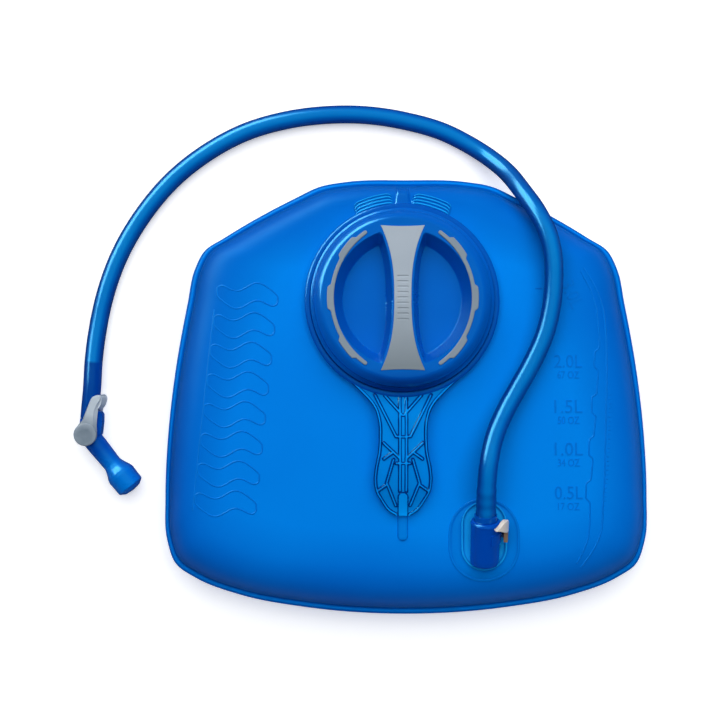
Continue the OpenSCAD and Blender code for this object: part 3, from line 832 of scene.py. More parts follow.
def collar():
    """Flange, guard ring and neck, with the four lugs that the cap turns on."""
    body = turned(rounded([
        (44.5, 0.05, 0), (57, 0.05, 0), (57, 6.5, 1.8), (53.9, 6.5, 0.4), (53.9, 1.4, 0.5), (47.2, 1.4, 0.5),
        (47.2, 13, 0.4), (44.5, 13, 0.5)]), 192)
    made = piece("collar_ring", placed(body, AT_PORT), LOOKS["collar"], "bag",
                 ["port_collar"])
    lug = [(46.8, 8), (48.6, 8.6), (49, 9.2), (48.6, 9.9), (46.8, 10.6)]
    thick = np.sqrt(np.clip(1 - np.linspace(-1, 1, 14) ** 4, 0.02, 1))
    for turn in LUG_TURNS:
        a = np.radians(turn + np.linspace(0, 50, 14))
        outside = np.stack([polar(NECK_OUT + (r - NECK_OUT) * thick, a, z) for r, z in lug])
        inside = np.stack([polar(NECK_OUT - 0.8, a, z) for _, z in lug])
        combine(made, placed(slab(outside, inside), AT_PORT), "UNION")
    return made


def wing(name, first, last):
    """A ribbed wing of clear moulding beside the collar's tab, between two bearings."""
    cols, rows = 80, 60
    a = np.radians(np.linspace(first, last, cols))
    reach_out = 7.6 * np.clip(1 - np.abs(np.linspace(-1, 1, cols)) ** 9, 0.12, 1) ** 0.5
    r = np.linspace(0, 1, rows)
    radius = GUARD_R - 0.4 + np.outer(r, reach_out)
    x, y = PORT[0] + radius * np.cos(a), PORT[1] + radius * np.sin(a)
    wave = 0.5 - 0.5 * np.cos(math.tau * 3.5 * np.clip((r - 0.12) / 0.86, 0, 1))[:, None]
    ends = np.clip(6 * (1 - np.abs(np.linspace(-1, 1, cols))), 0, 1)
    z = film_z(x, y)
    top = z + 0.5 + 0.6 * wave * ends - 0.4 * smooth_step(0.96, 1, r)[:, None]
    # Painted light and shade: ridge crests painted light, grooves and the wing's ends painted darker
    painted_light_shade = np.clip(0.9 * (1 - wave) * ends + 0.6 * (1 - ends), 0, 1)
    points = [np.stack([x, y, top], -1), np.stack([x, y, z - 0.2], -1)]
    return piece(name, slab(*points), LOOKS["wing"], "bag",
                 tones={"painted_light_shade": np.concatenate([painted_light_shade.ravel(), 0 * painted_light_shade.ravel()]),
                        "cover": np.ones(2 * painted_light_shade.size)})


def cap_end_tab():
    """The solid tab between the wings, from the collar to the bag's cap end."""
    y = np.linspace(PORT[1] + GUARD_R - 1.5, 124.6, 24)
    half = 3.9 + 4 * np.exp(-(y - y[0]) / 1.6)
    s = np.linspace(-1, 1, 15)
    x = PORT[0] + 0.6 + np.outer(half, s)
    yy = np.repeat(y[:, None], 15, 1)
    z = film_z(x, yy)
    crown = np.sqrt(np.clip(1 - 0.96 * np.abs(s) ** 5, 0, 1))
    top = z + 1.1 * crown * (1 - 0.6 * smooth_step(122, 124.6, yy))
    return piece("cap_end_tab", slab(np.stack([x, yy, top], -1), np.stack([x, yy, z - 0.2], -1)),
                 LOOKS["cap"], "bag")


# The cap's heights and its bar are in the port's own frame
CAP_PLATEAU = 20.0
CAP_FLOOR = 5.5
GRIP_HALF_L = 41.8
GRIP_WAIST = 4.9
GRIP_END = 12.7
GROOVE_PITCH = 3.1


def soft_max(a, b, k):
    """The larger of a and b, blended over a difference of k."""
    h = np.clip(0.5 + 0.5 * (a - b) / k, 0, 1)
    return b * (1 - h) + a * h + k * h * (1 - h)


def soft_min(a, b, k):
    return -soft_max(-a, -b, k)


def grip_half(y):
    """Half width of the grip bar."""
    return GRIP_WAIST + (GRIP_END - GRIP_WAIST) * np.abs(y / GRIP_HALF_L) ** 2.6


def cap_shell():
    """Cap with a finger pocket on each side of its bar; the skirt outside is in steps."""
    segments = 384
    r = np.concatenate([np.linspace(0.01, 33, 40), np.linspace(33.4, 46, 46)])
    a = np.arange(segments) * math.tau / segments
    x, y = np.outer(r, np.cos(a)), np.outer(r, np.sin(a))
    rr = np.repeat(r[:, None], segments, 1)
    wall = CAP_FLOOR + (rr - 34.6) * 2.75
    slope = 2.6 * (GRIP_END - GRIP_WAIST) / GRIP_HALF_L * np.abs(y / GRIP_HALF_L) ** 1.6
    from_grip = (np.abs(x) - grip_half(y)) / np.sqrt(1 + slope ** 2)
    bar = CAP_PLATEAU - 5.2 * (from_grip - 1.5)
    floor = CAP_FLOOR + 0.6 * (rr / 35) ** 2
    pocket = soft_max(soft_max(wall, bar, 8), floor, 0.8)
    z = soft_min(pocket, CAP_PLATEAU + 0 * rr, 1.1)
    top = [np.stack([x[k], y[k], z[k]], -1) for k in range(len(r))]
    low = np.interp(r, [0, 36.5, 43.3, 46], [3.3, 3.3, 14.6, 14.6])
    under = [polar(r[k], a, low[k]) for k in range(len(r))]
    outer = rounded([
        (46, CAP_PLATEAU, 0), (47.5, 19.5, 4), (49.7, 17.7, 4), (51.2, 14.4, 3), (51.5, 11.7, 1.5),
        (52.4, 10.6, 0.5), (53.6, 10.2, 0.9), (53.6, 4.4, 0.4), (53.3, 4.1, 0.2), (53.3, 1.8, 0.35),
        (51.4, 1.8, 0)], 4, closed=False)[1:]
    share, corners = np.linspace(0, 1, len(outer)), [0, 0.25, 0.5, 1]
    inner_r = np.interp(share, corners, [47, 48.2, 51.4, 51.4])
    inner_z = np.interp(share, corners, [14.6, 14.6, 12.1, 1.9])
    top += [polar(radius, a, height) for radius, height in outer]
    under += [polar(radius, a, height) for radius, height in zip(inner_r, inner_z)]
    return piece("cap_body", placed(slab(np.stack(top), np.stack(under), True), AT_PORT), LOOKS["cap"],
                 "cap", ["cap_shell"])


def cap_grip():
    """Soft bar with slightly hollow ends and nine grooves across its waist."""
    y = np.linspace(-GRIP_HALF_L, GRIP_HALF_L, 41)
    side = np.column_stack([grip_half(y), y])
    dish = [(x, GRIP_HALF_L - 0.55 * (1 - (x / GRIP_END) ** 2)) for x in np.linspace(9, -9, 5)]
    shape = np.vstack([side, dish, side[::-1] * (-1, 1), [(-x, -v) for x, v in dish]])
    made = piece("grip_bar", placed(prism(shape, CAP_PLATEAU - 2.4, CAP_PLATEAU + 0.5), AT_PORT),
                 LOOKS["grip"], "cap", ["cap_grip"], bevel=0.35, sharp=40)
    for k in range(-4, 5):
        groove = rounded_bar(3.2, 0.5, 0.45, 4, GROOVE_PITCH * k)
        combine(made, placed(prism(groove, CAP_PLATEAU + 0.05, CAP_PLATEAU + 2), AT_PORT))
    return made


def cap_inlay(name, side):
    """Soft arc with three wider thumb pads on its outer edge and rounded ends."""
    inner_r, width, shift, half_turn = 45.3, 2.3, 5.7, 54
    a = np.radians(np.linspace(-half_turn, half_turn, 109))
    pads = sum(smooth_step(9.5, 7.2, np.abs(np.degrees(a) - at)) for at in (-37.5, 0, 37.5))
    spread = np.stack([np.cos(a), np.sin(a)], 1)
    outer = spread * (inner_r + width + 1.7 * pads)[:, None]
    inner = spread[::-1] * inner_r

    def round_end(end, turn):
        out = spread[end]
        along = turn * np.array((-out[1], out[0]))
        middle = out * (inner_r + width / 2)
        return [middle + width / 2 * (out * math.cos(t) + along * math.sin(t))
                for t in np.radians((30, 60, 90, 120, 150))]

    loop = np.vstack([outer, round_end(-1, 1), inner, round_end(0, -1)[::-1]])
    loop = (loop - (shift, 0)) * (side, 1)
    return piece("soft_" + name, placed(prism(loop, CAP_PLATEAU - 1.2, CAP_PLATEAU + 0.7), AT_PORT),
                 LOOKS["inlay"], "cap", [name], bevel=0.4, sharp=50)


# ---------- handle ----------

HANDLE_X = -2.6
# Half width at each y down the handle, as (y, half width)
HANDLE_HALF = [
    (16, 39), (12, 34), (4, 25.2), (-6, 16.8), (-14, 14.5), (-22, 14.2), (-30, 14.6),
    (-42, 16.8), (-47, 17.2), (-54, 16.2), (-60, 13), (-66, 8.6), (-68.5, 4.6),
]
WEB_T = 1.6
RIB_H = 1.2
HANDLE_TOP = HANDLE_HALF[0][0]
HANDLE_END = HANDLE_HALF[-1][0]
STRAP_T = 1.3
# Ribs of the handle's right half as lines (x, y) from its middle line; the left half mirrors them
RIBS = [
    ((10.6, 1.6), (0.4, -9.8)), ((16.2, 1.8), (4.2, -22)), ((4.2, -22), (0, -22.3)),
    ((11.4, -25.7), (1.6, -35)), ((11.2, -35), (5.6, -31)), ((5.6, -35.4), (9.6, -49.3)),
    ((9.6, -49.3), (8.6, -51.2)), ((8.6, -51.2), (4.2, -62.4)), ((9.2, -49.8), (14.6, -53.8)),
    ((4, -37.6), (0, -37.6)),
]


def handle_under(y):
    """Height of the handle's underside: off the collar, up in an arch and down to the strap."""
    low = flat_z(-60)
    land, arch = low + STRAP_T, low + 7
    spots = through([(16, PORT[2] + 5), (2, PORT[2] + 7.5), (-10, arch - 0.6), (-24, arch), (-40, arch),
                     (-53, arch - 2), (-62, land + 1), (-66, land + 0.2), (-70, land + 0.1)], 6)[::-1]
    return np.interp(y, spots[:, 0], spots[:, 1])


def to_segment(x, y, a, b):
    """Distance of points from a straight line between a and b."""
    d = np.subtract(b, a)
    t = np.clip(((x - a[0]) * d[0] + (y - a[1]) * d[1]) / (d @ d), 0, 1)
    return np.hypot(x - a[0] - t * d[0], y - a[1] - t * d[1])


def carry_handle():
    """Clear web with a beaded border, ribs, a split spine and the tongue that lands on the strap."""
    side = through(HANDLE_HALF, 8)
    rows, cols = 230, 111
    s = np.linspace(-1, 1, cols)
    y_down = np.linspace(HANDLE_TOP, HANDLE_END, 900)
    half_down = np.interp(-y_down, -side[:, 0], side[:, 1])
    x, y = np.zeros((rows, cols)), np.zeros((rows, cols))
    for k, share in enumerate(s):
        from_port = np.hypot(HANDLE_X + share * half_down - PORT[0], y_down - PORT[1])
        start = y_down[np.argmax(from_port >= GUARD_R - 0.6)]
        y[:, k] = np.linspace(start, HANDLE_END, rows)
        x[:, k] = share * np.interp(-y[:, k], -side[:, 0], side[:, 1])
    to_edge = np.full(x.shape, 1e9)
    border = np.vstack([side[:, ::-1], [(0, HANDLE_END - 0.2)]])
    for a, b in zip(border[::2], border[2::2]):
        to_edge = np.minimum(to_edge, to_segment(np.abs(x), y, a, b))
    bead = smooth_step(2.2, 1.4, to_edge)
    ribs = smooth_step(1.15, 0.4, np.minimum.reduce([to_segment(np.abs(x), y, a, b) for a, b in RIBS]))
    spine = smooth_step(2.9, 2.4, np.abs(x)) - 0.55 * smooth_step(1.3, 0.9, np.abs(x))
    spine = spine * smooth_step(-55.5, -53.5, y)
    tongue = smooth_step(3.1, 2.6, to_segment(x, y, (0, -57.5), (0, -72)))
    height = np.maximum.reduce([bead, ribs, spine, tongue])
    base = handle_under(y)
    soften = smooth_step(0, 0.7, to_edge)
    top = base + 0.35 + (WEB_T - 0.35) * (0.45 + 0.55 * soften) + RIB_H * height * (0.35 + 0.65 * soften)
    down, across = np.gradient(top - base)
    dx = np.maximum(np.abs(np.gradient(x, axis=1)), 0.05)
    dy = np.maximum(np.abs(np.gradient(y, axis=0)), 0.05)
    steep = np.hypot(down / dy, across / dx)
    # Painted shade: dark lines on the steep flanks of ribs and along the border
    painted_light_shade = np.clip(0.9 * smooth_step(0.25, 1.2, steep) + smooth_step(0.8, 0.2, to_edge), 0, 1)
    top_grid = np.stack([x + HANDLE_X, y, top], -1)
    under_grid = np.stack([x + HANDLE_X, y, base], -1)
    cover = np.clip(0.25 + np.maximum(0.9 * painted_light_shade, 0.5 * height), 0, 1)
    tones = {"painted_light_shade": np.concatenate([painted_light_shade.ravel(), 0 * painted_light_shade.ravel()]),
             "cover": np.concatenate([cover.ravel(), 0 * cover.ravel()])}
    return piece("handle_web", slab(top_grid, under_grid), LOOKS["clear"], "bag",
                 ["carry_handle"], tones=tones)


def handle_strap():
    """Welded strap that the handle lands on; its rounded tail shows below the handle."""
    y = np.concatenate([np.linspace(-57.5, -80, 24), -80.5 - 3.1 * np.sin(np.radians(np.arange(0, 91, 9)))])
    half = np.where(y < -80.5, np.sqrt(np.clip(3.1 ** 2 - (y + 80.5) ** 2, 0.02, None)), 3.1)
    s = np.linspace(-1, 1, 17)
    x = HANDLE_X + np.outer(half, s)
    yy = np.repeat(y[:, None], 17, 1)
    z = film_z(x, yy)
    crown = np.sqrt(np.clip(1 - np.abs(s) ** 6, 0, 1)) * np.sqrt(np.clip(1 - ((yy + 80.5) / 3.2) ** 4
                                                                         * (yy < -80.5), 0, 1))
    # Painted shade along the strap's sides and round its tail
    painted_light_shade = 0.5 * np.clip(np.abs(s) ** 6 + smooth_step(-82, -83.4, yy), 0, 1).ravel()
    return piece("handle_strap", slab(np.stack([x, yy, z + 0.1 + (STRAP_T - 0.1) * crown], -1),
                                      np.stack([x, yy, z - 0.2], -1)),
                 LOOKS["tub"], "bag", ["handle_anchor"],
                 tones={"painted_light_shade": np.concatenate([painted_light_shade, painted_light_shade]), "cover": np.ones(2 * len(painted_light_shade))})


# ---------- outlet ----------

OUTLET = JOINTS["connector_pull"]
OUTLET_SPOT = (45, -70, 52)
OUTLET_TILT = math.asin(OUTLET["axis"][2])
AT_OUTLET = Matrix.Translation(OUTLET_SPOT) @ Matrix.Rotation(OUTLET_TILT - math.pi / 2, 4, "X")
TUB_HALF = 12.2
TUB_TOP = -73.5
TUB_LOW = -90
TUB_FLOOR = 34.4
TUB_DEPTH = 7.4
# The bottom of the tub, and the half width below which its rows lie midway to a flat face
SHELF_HALF = 7.4
SHELF_TOP = -75.5
SHELF_LOW = -89.2
FLANGE_FLAT = 18


def oval(half_w, top, low, steps=24):
    """Outline round two middles on the outlet's line, one above the other."""
    up = arc(half_w, 0, 180, steps + 1) + (0, top)
    down = arc(half_w, 180, 360, steps + 1) + (0, low)
    return np.vstack([up, down]) + (OUTLET_SPOT[0], 0)


def film_hole():
    """What the outlet's tub takes out of the front film."""
    return prism(oval(TUB_HALF + 0.3, TUB_TOP, TUB_LOW), 20, 80)


def outlet_base():
    """Welded flange with a double edge, and the tub that the socket stands in."""
    face = flat_z(-90) + 0.05
    # Half width, the two middles, height over the film, and tone of painted light and shade: 0.5 paints dark
    # lines along the double edge, 1 paints light on the lip and down the tub's wall
    rows = [
        (20.8, -79.5, -87, 0.1, 0.4), (20.85, -79.5, -87, 0.3, 0.5), (20.6, -79.5, -87, 0.6, 0.2),
        (20.1, -79.5, -87, 0.68, 0.1), (19.6, -79.5, -87, 0.6, 0.4), (19.3, -79.5, -87, 0.4, 0.5),
        (18.9, -79.5, -87, 0.36, 0.2), (17.6, -79, -87, 0.45, 0.05), (15.6, -77, -87, 0.6, 0),
        (14.2, -75.5, -87, 0.65, 0.2), (13.7, -74.5, -87.3, 0.8, 0.4), (13.2, -73.5, -87.6, 1.15, 0.9),
        (12.6, -73.5, -87.6, 1.15, 1), (12.1, -73.5, -87.6, 0.7, 0.6), (11.8, -73.5, -87.6, 0.2, 0.8),
        (11.2, -73.5, -87.8, -0.2, 1), (10.2, -73.5, -88.2, -0.3, 1), (8.8, -74.5, -89, -0.4, 1),
        (7.6, -75.5, -89.2, -0.9, 0.8),
    ]
    top, tone = [], []
    for half_w, high, low, lift, painted_light_shade in rows:
        line = oval(half_w, high, low)
        z = film_z(line[:, 0], line[:, 1])
        if half_w < FLANGE_FLAT:
            z = (z + face) / 2
        top.append(np.column_stack([line, z + lift]))
        tone.append(np.full(len(line), painted_light_shade))
    shelf = len(rows)
    # The tub's bottom takes the middle tone of the painted light and shade
    for depth in (3.5, 5.5, TUB_DEPTH):
        line = oval(SHELF_HALF, SHELF_TOP, SHELF_LOW)
        top.append(np.column_stack([line, 0 * line[:, 0] + face - depth]))
        tone.append(np.full(len(line), 0.5))
    for share in (0.7, 0.35, 0.02):
        line = oval(SHELF_HALF * share, SHELF_TOP, SHELF_LOW)
        line[:, 1] = line[:, 1] * share + (SHELF_TOP + SHELF_LOW) / 2 * (1 - share)
        top.append(np.column_stack([line, 0 * line[:, 0] + face - TUB_DEPTH]))
        tone.append(np.full(len(line), 0.5))
    top = np.stack(top)
    under = top.copy()
    under[:, :, 2] -= 0.5
    under[0, :, 2] = top[0, :, 2] - 0.15
    out = oval(1, 0, 0) - (OUTLET_SPOT[0], 0)
    # From this row on the underside is the tub's outer wall
    wall = 13
    for k in range(wall, shelf + 3):
        under[k, :, :2] = top[wall + 1, :, :2] + (0.35 if k < shelf else 0.4) * out
    sink = face - np.linspace(1, TUB_DEPTH, len(under) - wall)[:, None]
    under[wall:, :, 2] = np.minimum(under[wall:, :, 2], sink)
    under[shelf + 2:, :, 2] = face - TUB_DEPTH - 1.2
    tones = np.concatenate(tone * 2)
    return piece("outlet_flange", slab(top, under, True), LOOKS["tub"], "bag",
                 ["outlet_base"], tones={"painted_light_shade": tones, "cover": np.ones(len(tones))})


def ring_sector(inner, outer, first, last, low, high, steps=28):
    """Sector of a tube about Z between two angles; low and high may be functions of the angle."""
    a = np.radians(np.linspace(first, last, steps))
    z0 = low(a) if callable(low) else low + 0 * a
    z1 = high(a) if callable(high) else high + 0 * a
    loops = [polar(r, a, z) for r, z in ((inner, z0), (outer, z0), (outer, z1), (inner, z1))]
    points = np.stack(loops, 1).reshape(-1, 3)
    faces = grid_faces(steps, 4, True) + [(0, 1, 2, 3), tuple(4 * (steps - 1) + k for k in (3, 2, 1, 0))]
    return points, faces


LATCH_LOW = -5.0
LATCH_HIGH = -3.2
LATCH_HALF = 5.8
PRESS = 1.5


def outlet_socket():
    """Socket with the latch's slot, a raised pad on one side and the post it stands on in the tub."""
    profile = rounded([
        (4.7, 0, 0.3), (5.7, 0.1, 0.3), (6.3, -0.7, 0.3), (7, -0.2, 0.5), (8.2, -0.5, 0.9), (8.85, -1.9, 0.6),
        (8.6, -3.1, 0.8), (8.5, -6, 0.5), (8.5, -24, 0.5), (8.2, -28, 3), (5, -28, 0.2), (5, -15.5, 0),
        (2.6, -15.5, 0), (2.6, -14, 0), (4.7, -14, 0)])
    made = piece("socket_body", placed(turned(profile, 96), AT_OUTLET), LOOKS["dark"], "bag",
                 ["outlet_socket"])
    combine(made, placed(ring_sector(7, 9.35, -72, 40, -13.2, -6.8), AT_OUTLET), "UNION")
    slot = np.vstack([arc(8.05, 130, 230, 12), [(12, -6.2), (12, 6.2)]])
    combine(made, placed(prism(slot, LATCH_LOW - 0.2, LATCH_HIGH + 0.2), AT_OUTLET))
    foot = np.array(AT_OUTLET @ Vector((0, 0, -21)))
    combine(made, prism(foot[:2] + circle(4.5, 32), TUB_FLOOR + 0.05, foot[2] - 4), "UNION")
    return made


def release_button():
    """Cream button beside the socket's mouth, with its leg and the latch plate it carries."""
    inner, outer = 10.4, 13.3
    plate = np.vstack([arc(7.8, 132, 228, 12) + (PRESS, 0),
                       [(8.3, -LATCH_HALF), (8.3, -3), (inner + 0.6, -3), (inner + 0.6, 3), (8.3, 3),
                        (8.3, LATCH_HALF)]])
    made = piece("button_tab", placed(prism(plate, LATCH_LOW, LATCH_HIGH), AT_OUTLET), LOOKS["button"],
                 "button", ["release_button"], bevel=0.35)
    hole = circle(4.9, 48)
    hole[:, 0] += np.where(hole[:, 0] > 0, PRESS, 0)
    combine(made, placed(prism(hole, LATCH_LOW - 1, LATCH_HIGH + 1), AT_OUTLET))

    def crest(angle):
        turn = np.degrees(angle)
        return (2.2 - 3.6 * smooth_step(-34, -68, turn) - 3.2 * smooth_step(-26, 2, turn)
                - 2 * smooth_step(8, 27, turn))

    def foot(angle):
        return -6.1 + 3.9 * smooth_step(-14, -68, np.degrees(angle))

    combine(made, placed(ring_sector(inner, outer, -68, 27, foot, crest, 40), AT_OUTLET), "UNION")
    leg = ring_sector(inner + 0.5, outer - 0.15, -18, 18, -12.6, -5.8, 16)
    leg = piece("button_leg", placed(leg, AT_OUTLET), LOOKS["leg"], "button", bevel=0.4)
    pocket = Matrix.Translation((0, 0, -9.5)) @ Matrix.Rotation(math.pi / 2, 4, "Y")
    combine(leg, placed(prism(circle(1.9, 48), inner, outer - 0.7), AT_OUTLET @ pocket))
    return made


# ---------- mouthpiece ----------

MOUTH_YAW = math.radians(-5)
BITE_TURN = math.radians(44)
AT_MOUTH = Matrix.Translation(MOUTH_SPOT) @ Matrix.Rotation(MOUTH_YAW, 4, "Z")
AT_INLET = AT_MOUTH @ Matrix.Rotation(-math.pi / 2, 4, "X")
AT_BITE = AT_MOUTH @ Matrix.Rotation(BITE_TURN, 4, "Z") @ Matrix.Rotation(math.pi / 2, 4, "X")
CHAMBER_H = 7.6
KNOB_R = 6.9
LEVER_ARM = [
    (-5.2, 4.5), (-2.6, 8.5), (-0.9, 14), (0.6, 19), (2, 22.4), (4.4, 24), (7.3, 24.1), (8.1, 22.6),
    (7.4, 19.8), (6.5, 16.5), (6.1, 11), (6.3, 5), (6.7, 2),
]
LEVER_CREST = [
    (-4.6, 4.2), (-1.8, 8.6), (-0.2, 13.8), (1.2, 18.6), (2.6, 21.6), (4.6, 23.2), (6.9, 23.4), (7.2, 22.2),
    (5.9, 19.6), (4.6, 16.4), (4, 11), (4.6, 6), (5.4, 2),
]
LEVER_BRIDGE = [(5.75, 15.6), (6.7, 16.6), (7.9, 20), (8, 22.4), (7.2, 23.6), (5.75, 23)]


def barbs(tip, root, radius, tip_radius, count):
    """Profile of barbs on a spigot, each a slope that ends in a step."""
    out = []
    pitch = (tip - root) / count
    for k in range(count):
        at = root + k * pitch
        out += [(radius, at + 0.4), (tip_radius, at + 0.8), (radius, at + pitch)]
    return out


def elbow_body():
    """Round valve chamber with a barbed inlet, a beaded outlet and a gusset between the two."""
    chamber = rounded([(4.55, -CHAMBER_H, 0.2), (6.4, -CHAMBER_H, 1), (6.4, CHAMBER_H, 1),
                       (4.55, CHAMBER_H, 0.2)])
    made = piece("elbow_shell", placed(turned(chamber, 96), AT_MOUTH), LOOKS["dark"], "mouthpiece",
                 ["elbow_body"])
    inlet = [(2.4, 4.9), (5.6, 4.9), (5.6, 8.7), (5.4, 9), (3, 9)] + barbs(26, 10, 3, 3.45, 4) + [(2.4, 26)]
    outlet = [(2.4, 4.9), (4, 4.9), (4, 21), (4.2, 21.2), (4.2, 22.8),
              (4, 23), (4, 25.6), (3.7, 26), (2.4, 26)]
    combine(made, placed(turned(inlet, 96), AT_INLET), "UNION")
    combine(made, placed(turned(outlet, 96), AT_BITE), "UNION")
    gusset = rounded([(3, -2, 0), (8.3, 0.3, 1), (8.5, 8, 2), (8.1, 12.8, 1.5), (6.6, 14.2, 1), (3, 15.4, 0)])
    combine(made, placed(prism(gusset, -4.6, 4.6), AT_MOUTH), "UNION")
    for arm in (AT_INLET, AT_BITE):
        combine(made, placed(prism(circle(2.4, 40), 3, 12), arm))
    return made


def shutoff_lever():
    """Two arms with round knobs, joined by a bridge over the hose's side."""
    disc = circle(1, 72)
    foot = through(LEVER_ARM, 6, closed=True)
    crest = through(LEVER_CREST, 6, closed=True)
    bridge = through(LEVER_BRIDGE, 5, closed=True)
    top = MOUTH_SPOT[2]
    made = piece("lever_bridge", placed(prism(bridge, -top + 1, top - 1.6), AT_MOUTH), LOOKS["lever"],
                 "shutoff", ["shutoff_lever"], bevel=0.6, sharp=40)
    waist = crest * 0.55 + foot * 0.45
    for side in (1, -1):
        rings = [foot, foot, waist, crest * 0.93 + foot * 0.07, crest * 0.99 + crest.mean(0) * 0.01]
        heights = [side * h for h in (7.9, 8.7, 9.6, top - 0.7, top - 0.45)]
        combine(made, placed(loft(rings, heights), AT_MOUTH), "UNION")
        knob = [disc * r for r in (KNOB_R, KNOB_R, KNOB_R - 0.25, KNOB_R - 0.9, 3)]
        heights = [side * h for h in (7.9, top - 0.9, top - 0.3, top, top - 0.35)]
        combine(made, placed(loft(knob, heights), AT_MOUTH), "UNION")
        low, high = sorted((side * 7, side * (top - 1.2)))
        combine(made, placed(prism(disc * 3.03, low, high), AT_MOUTH))
    return made


def bite_valve():
    """Silicone sleeve whose root is cut to sit against the elbow's round chamber."""
    profile = rounded([
        (4.3, 4, 0), (6.15, 4, 0), (6.1, 10, 3), (5.6, 23.6, 4), (6.5, 26.4, 3), (8.2, 30, 2.5),
        (8.75, 32, 2.5), (8.5, 41, 0.9), (5.2, 43.2, 4), (0.02, 43.8, 0), (0.02, 41.3, 0), (5.4, 40.2, 1),
        (5.4, 31, 1), (4.3, 27, 0.5)], 6)
    points, faces = turned(profile, 96)
    points[:, 1] *= 1 - 0.1 * smooth_step(27, 40, points[:, 2])
    made = piece("bite_sleeve", placed((points, faces), AT_BITE), LOOKS["silicone"], "bite",
                 ["bite_valve"])
    combine(made, placed(prism(circle(6.5, 72), -9, 9), AT_MOUTH))
    combine(made, placed(prism(rounded_bar(4.5, 0.3, 0.25, 3), 42.2, 45), AT_BITE))
    return made


# ---------- hose ----------

HOSE_ROUTE = [
    (45, -66.9, 53), (45, -60.1, 55.2), (45, -51.5, 58), (46, -38, 59.6), (50, -21, 56),
    (57, -6, 51), (64, 6, 48.3), (72, 20, 47.3), (80, 38, 47.2), (84, 56, 47.2), (85, 69, 47.2),
    (84.5, 83, 47.2), (82, 95, 46), (76, 109, 41.2), (69, 121, 33.5), (59.5, 136, 19.5),
    (48, 147, 10), (36, 155, 6.2), (24, 161, 5.6), (0, 168, 5.6), (-24, 171.6, 5.6),
    (-49, 171.6, 5.6), (-73, 168.4, 5.6), (-98, 161, 5.6), (-122, 148, 5.6), (-142, 132, 5.6),
    (-159, 112, 5.6), (-175, 84.5, 5.6), (-183, 62, 5.6), (-187.6, 40, 6.2), (-189.6, 20, 8.8),
    (-190.1, 5, 10.7), (-190.8, -2.9, 10.8), (-191.7, -13.2, 10.8),
]
HOSE_R = 5.5
BARB_RUN = 20


def hose():
    """The drinking hose as one curve, swollen a little over the connector's barbs."""
    route = through(HOSE_ROUTE, 7)
    run = np.append(0, np.cumsum(np.linalg.norm(np.diff(route, axis=0), axis=1)))
    swell = 0.06 * smooth_step(BARB_RUN, BARB_RUN - 8, run)
    swell += 0.022 * np.sin(run / BARB_RUN * math.tau * 3) * smooth_step(BARB_RUN + 2, BARB_RUN - 4, run)
    curve = bpy.data.curves.new("hose", "CURVE")
    curve.dimensions = "3D"
    curve.bevel_depth = HOSE_R * MM
    curve.bevel_resolution = 9
    curve.use_fill_caps = True
    line = curve.splines.new("POLY")
    line.points.add(len(route) - 1)
    for point, spot, more in zip(line.points, route, swell):
        point.co = (*(spot * MM), 1)
        point.radius = 1 + more
    line.use_smooth = True
    curve.materials.append(LOOKS["hose"])
    obj = add_object("drinking_hose", curve)
    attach(obj, "hose_line")
    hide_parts("hose")
    return obj


# ---------- stage ----------

FLOOR_HALF = 40.0
FLOOR_Z = -0.0002


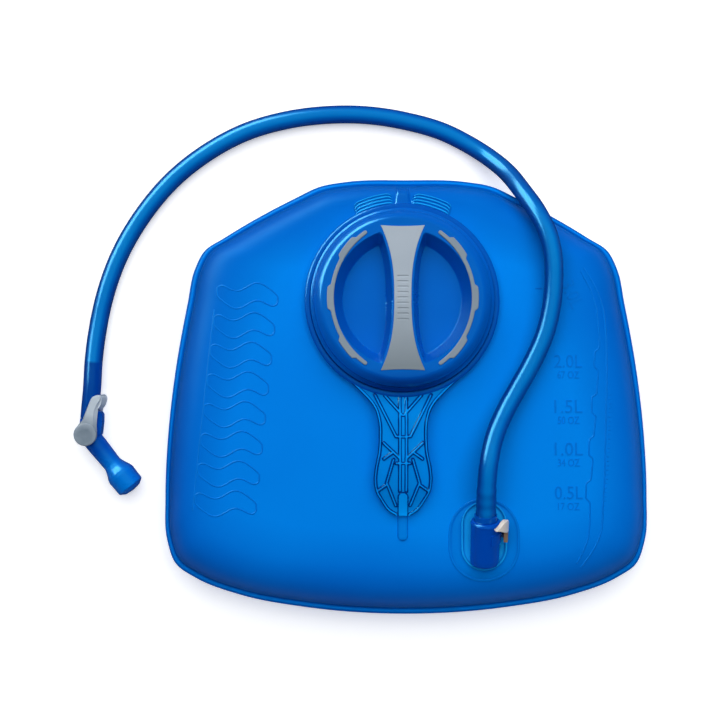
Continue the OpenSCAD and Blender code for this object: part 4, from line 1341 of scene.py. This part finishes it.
def stage():
    """White floor that glows more with distance, so that no dark band shows behind the object."""
    mesh = bpy.data.meshes.new("floor")
    corners = [(x * FLOOR_HALF, y * FLOOR_HALF, FLOOR_Z) for x, y in ((-1, -1), (1, -1), (1, 1), (-1, 1))]
    mesh.from_pydata(corners, [], [(0, 1, 2, 3)])
    look = Look("floor", 1, specular=0)
    look.shader.inputs["Base Color"].default_value = (0.9, 0.9, 0.9, 1)
    look.shader.inputs["Emission Color"].default_value = (1, 1, 1, 1)
    far = look.node("VectorMath", operation="LENGTH")
    look.links.new(look.place, far.inputs[0])
    glow = look.mapped(far.outputs["Value"], (1, 4), (0.42, 1))
    look.links.new(glow, look.shader.inputs["Emission Strength"])
    mesh.materials.append(look.material)
    floor = add_object("floor", mesh)
    floor.visible_glossy = False


def area_light(name, spot, size, power, reflected):
    """Soft box aimed at the middle of the bag: it either lights it, or is only seen reflected in it."""
    data = bpy.data.lights.new(name, "AREA")
    data.shape = "RECTANGLE"
    data.size, data.size_y = size
    data.energy = power
    light = add_object(name, data)
    light.location = spot
    light.rotation_euler = (-Vector(spot)).to_track_quat("-Z", "Y").to_euler()
    light.visible_glossy = reflected
    light.visible_diffuse = not reflected


def sky():
    """Faint blue light from low down and none overhead, so that flat faces keep their full colour."""
    world = bpy.data.worlds.new("studio")
    bpy.context.scene.world = world
    world.use_nodes = True
    nodes, links = world.node_tree.nodes, world.node_tree.links
    up = nodes.new("ShaderNodeSeparateXYZ")
    links.new(nodes.new("ShaderNodeTexCoord").outputs["Generated"], up.inputs["Vector"])
    band = nodes.new("ShaderNodeValToRGB")
    links.new(up.outputs["Z"], band.inputs["Fac"])
    stops = ((0, 1.0), (0.55, 0.8), (0.75, 0.1), (0.9, 0.02))
    while len(band.color_ramp.elements) < len(stops):
        band.color_ramp.elements.new(0.5)
    for element, (spot, level) in zip(band.color_ramp.elements, stops):
        element.position = spot
        element.color = (0.15 * level, 0.55 * level, level, 1)
    links.new(band.outputs["Color"], nodes["Background"].inputs["Color"])
    nodes["Background"].inputs["Strength"].default_value = 0.1
    bpy.context.scene.view_settings.view_transform = "Standard"


stage()
sky()
area_light("fill", (0, 1.0, 1.9), (3, 3), 75, reflected=False)
area_light("card", (-0.9, 0.9, 0.62), (1.5, 0.8), 52, reflected=True)

# ---------- the object ----------

hose_piece = hose()
front = front_film()
combine(front, film_hole())
back_film()
volume_scale()
gauge_band()
wave_relief()
collar()
wing("collar_wing_left", 94.5, 118)
wing("collar_wing_right", 84.5, 61)
cap_end_tab()
cap_shell()
cap_grip()
cap_inlay("cap_inlay_left", -1)
cap_inlay("cap_inlay_right", 1)
carry_handle()
handle_strap()
outlet_base()
outlet_socket()
release_button()
elbow = elbow_body()
lever = shutoff_lever()
bite = bite_valve()
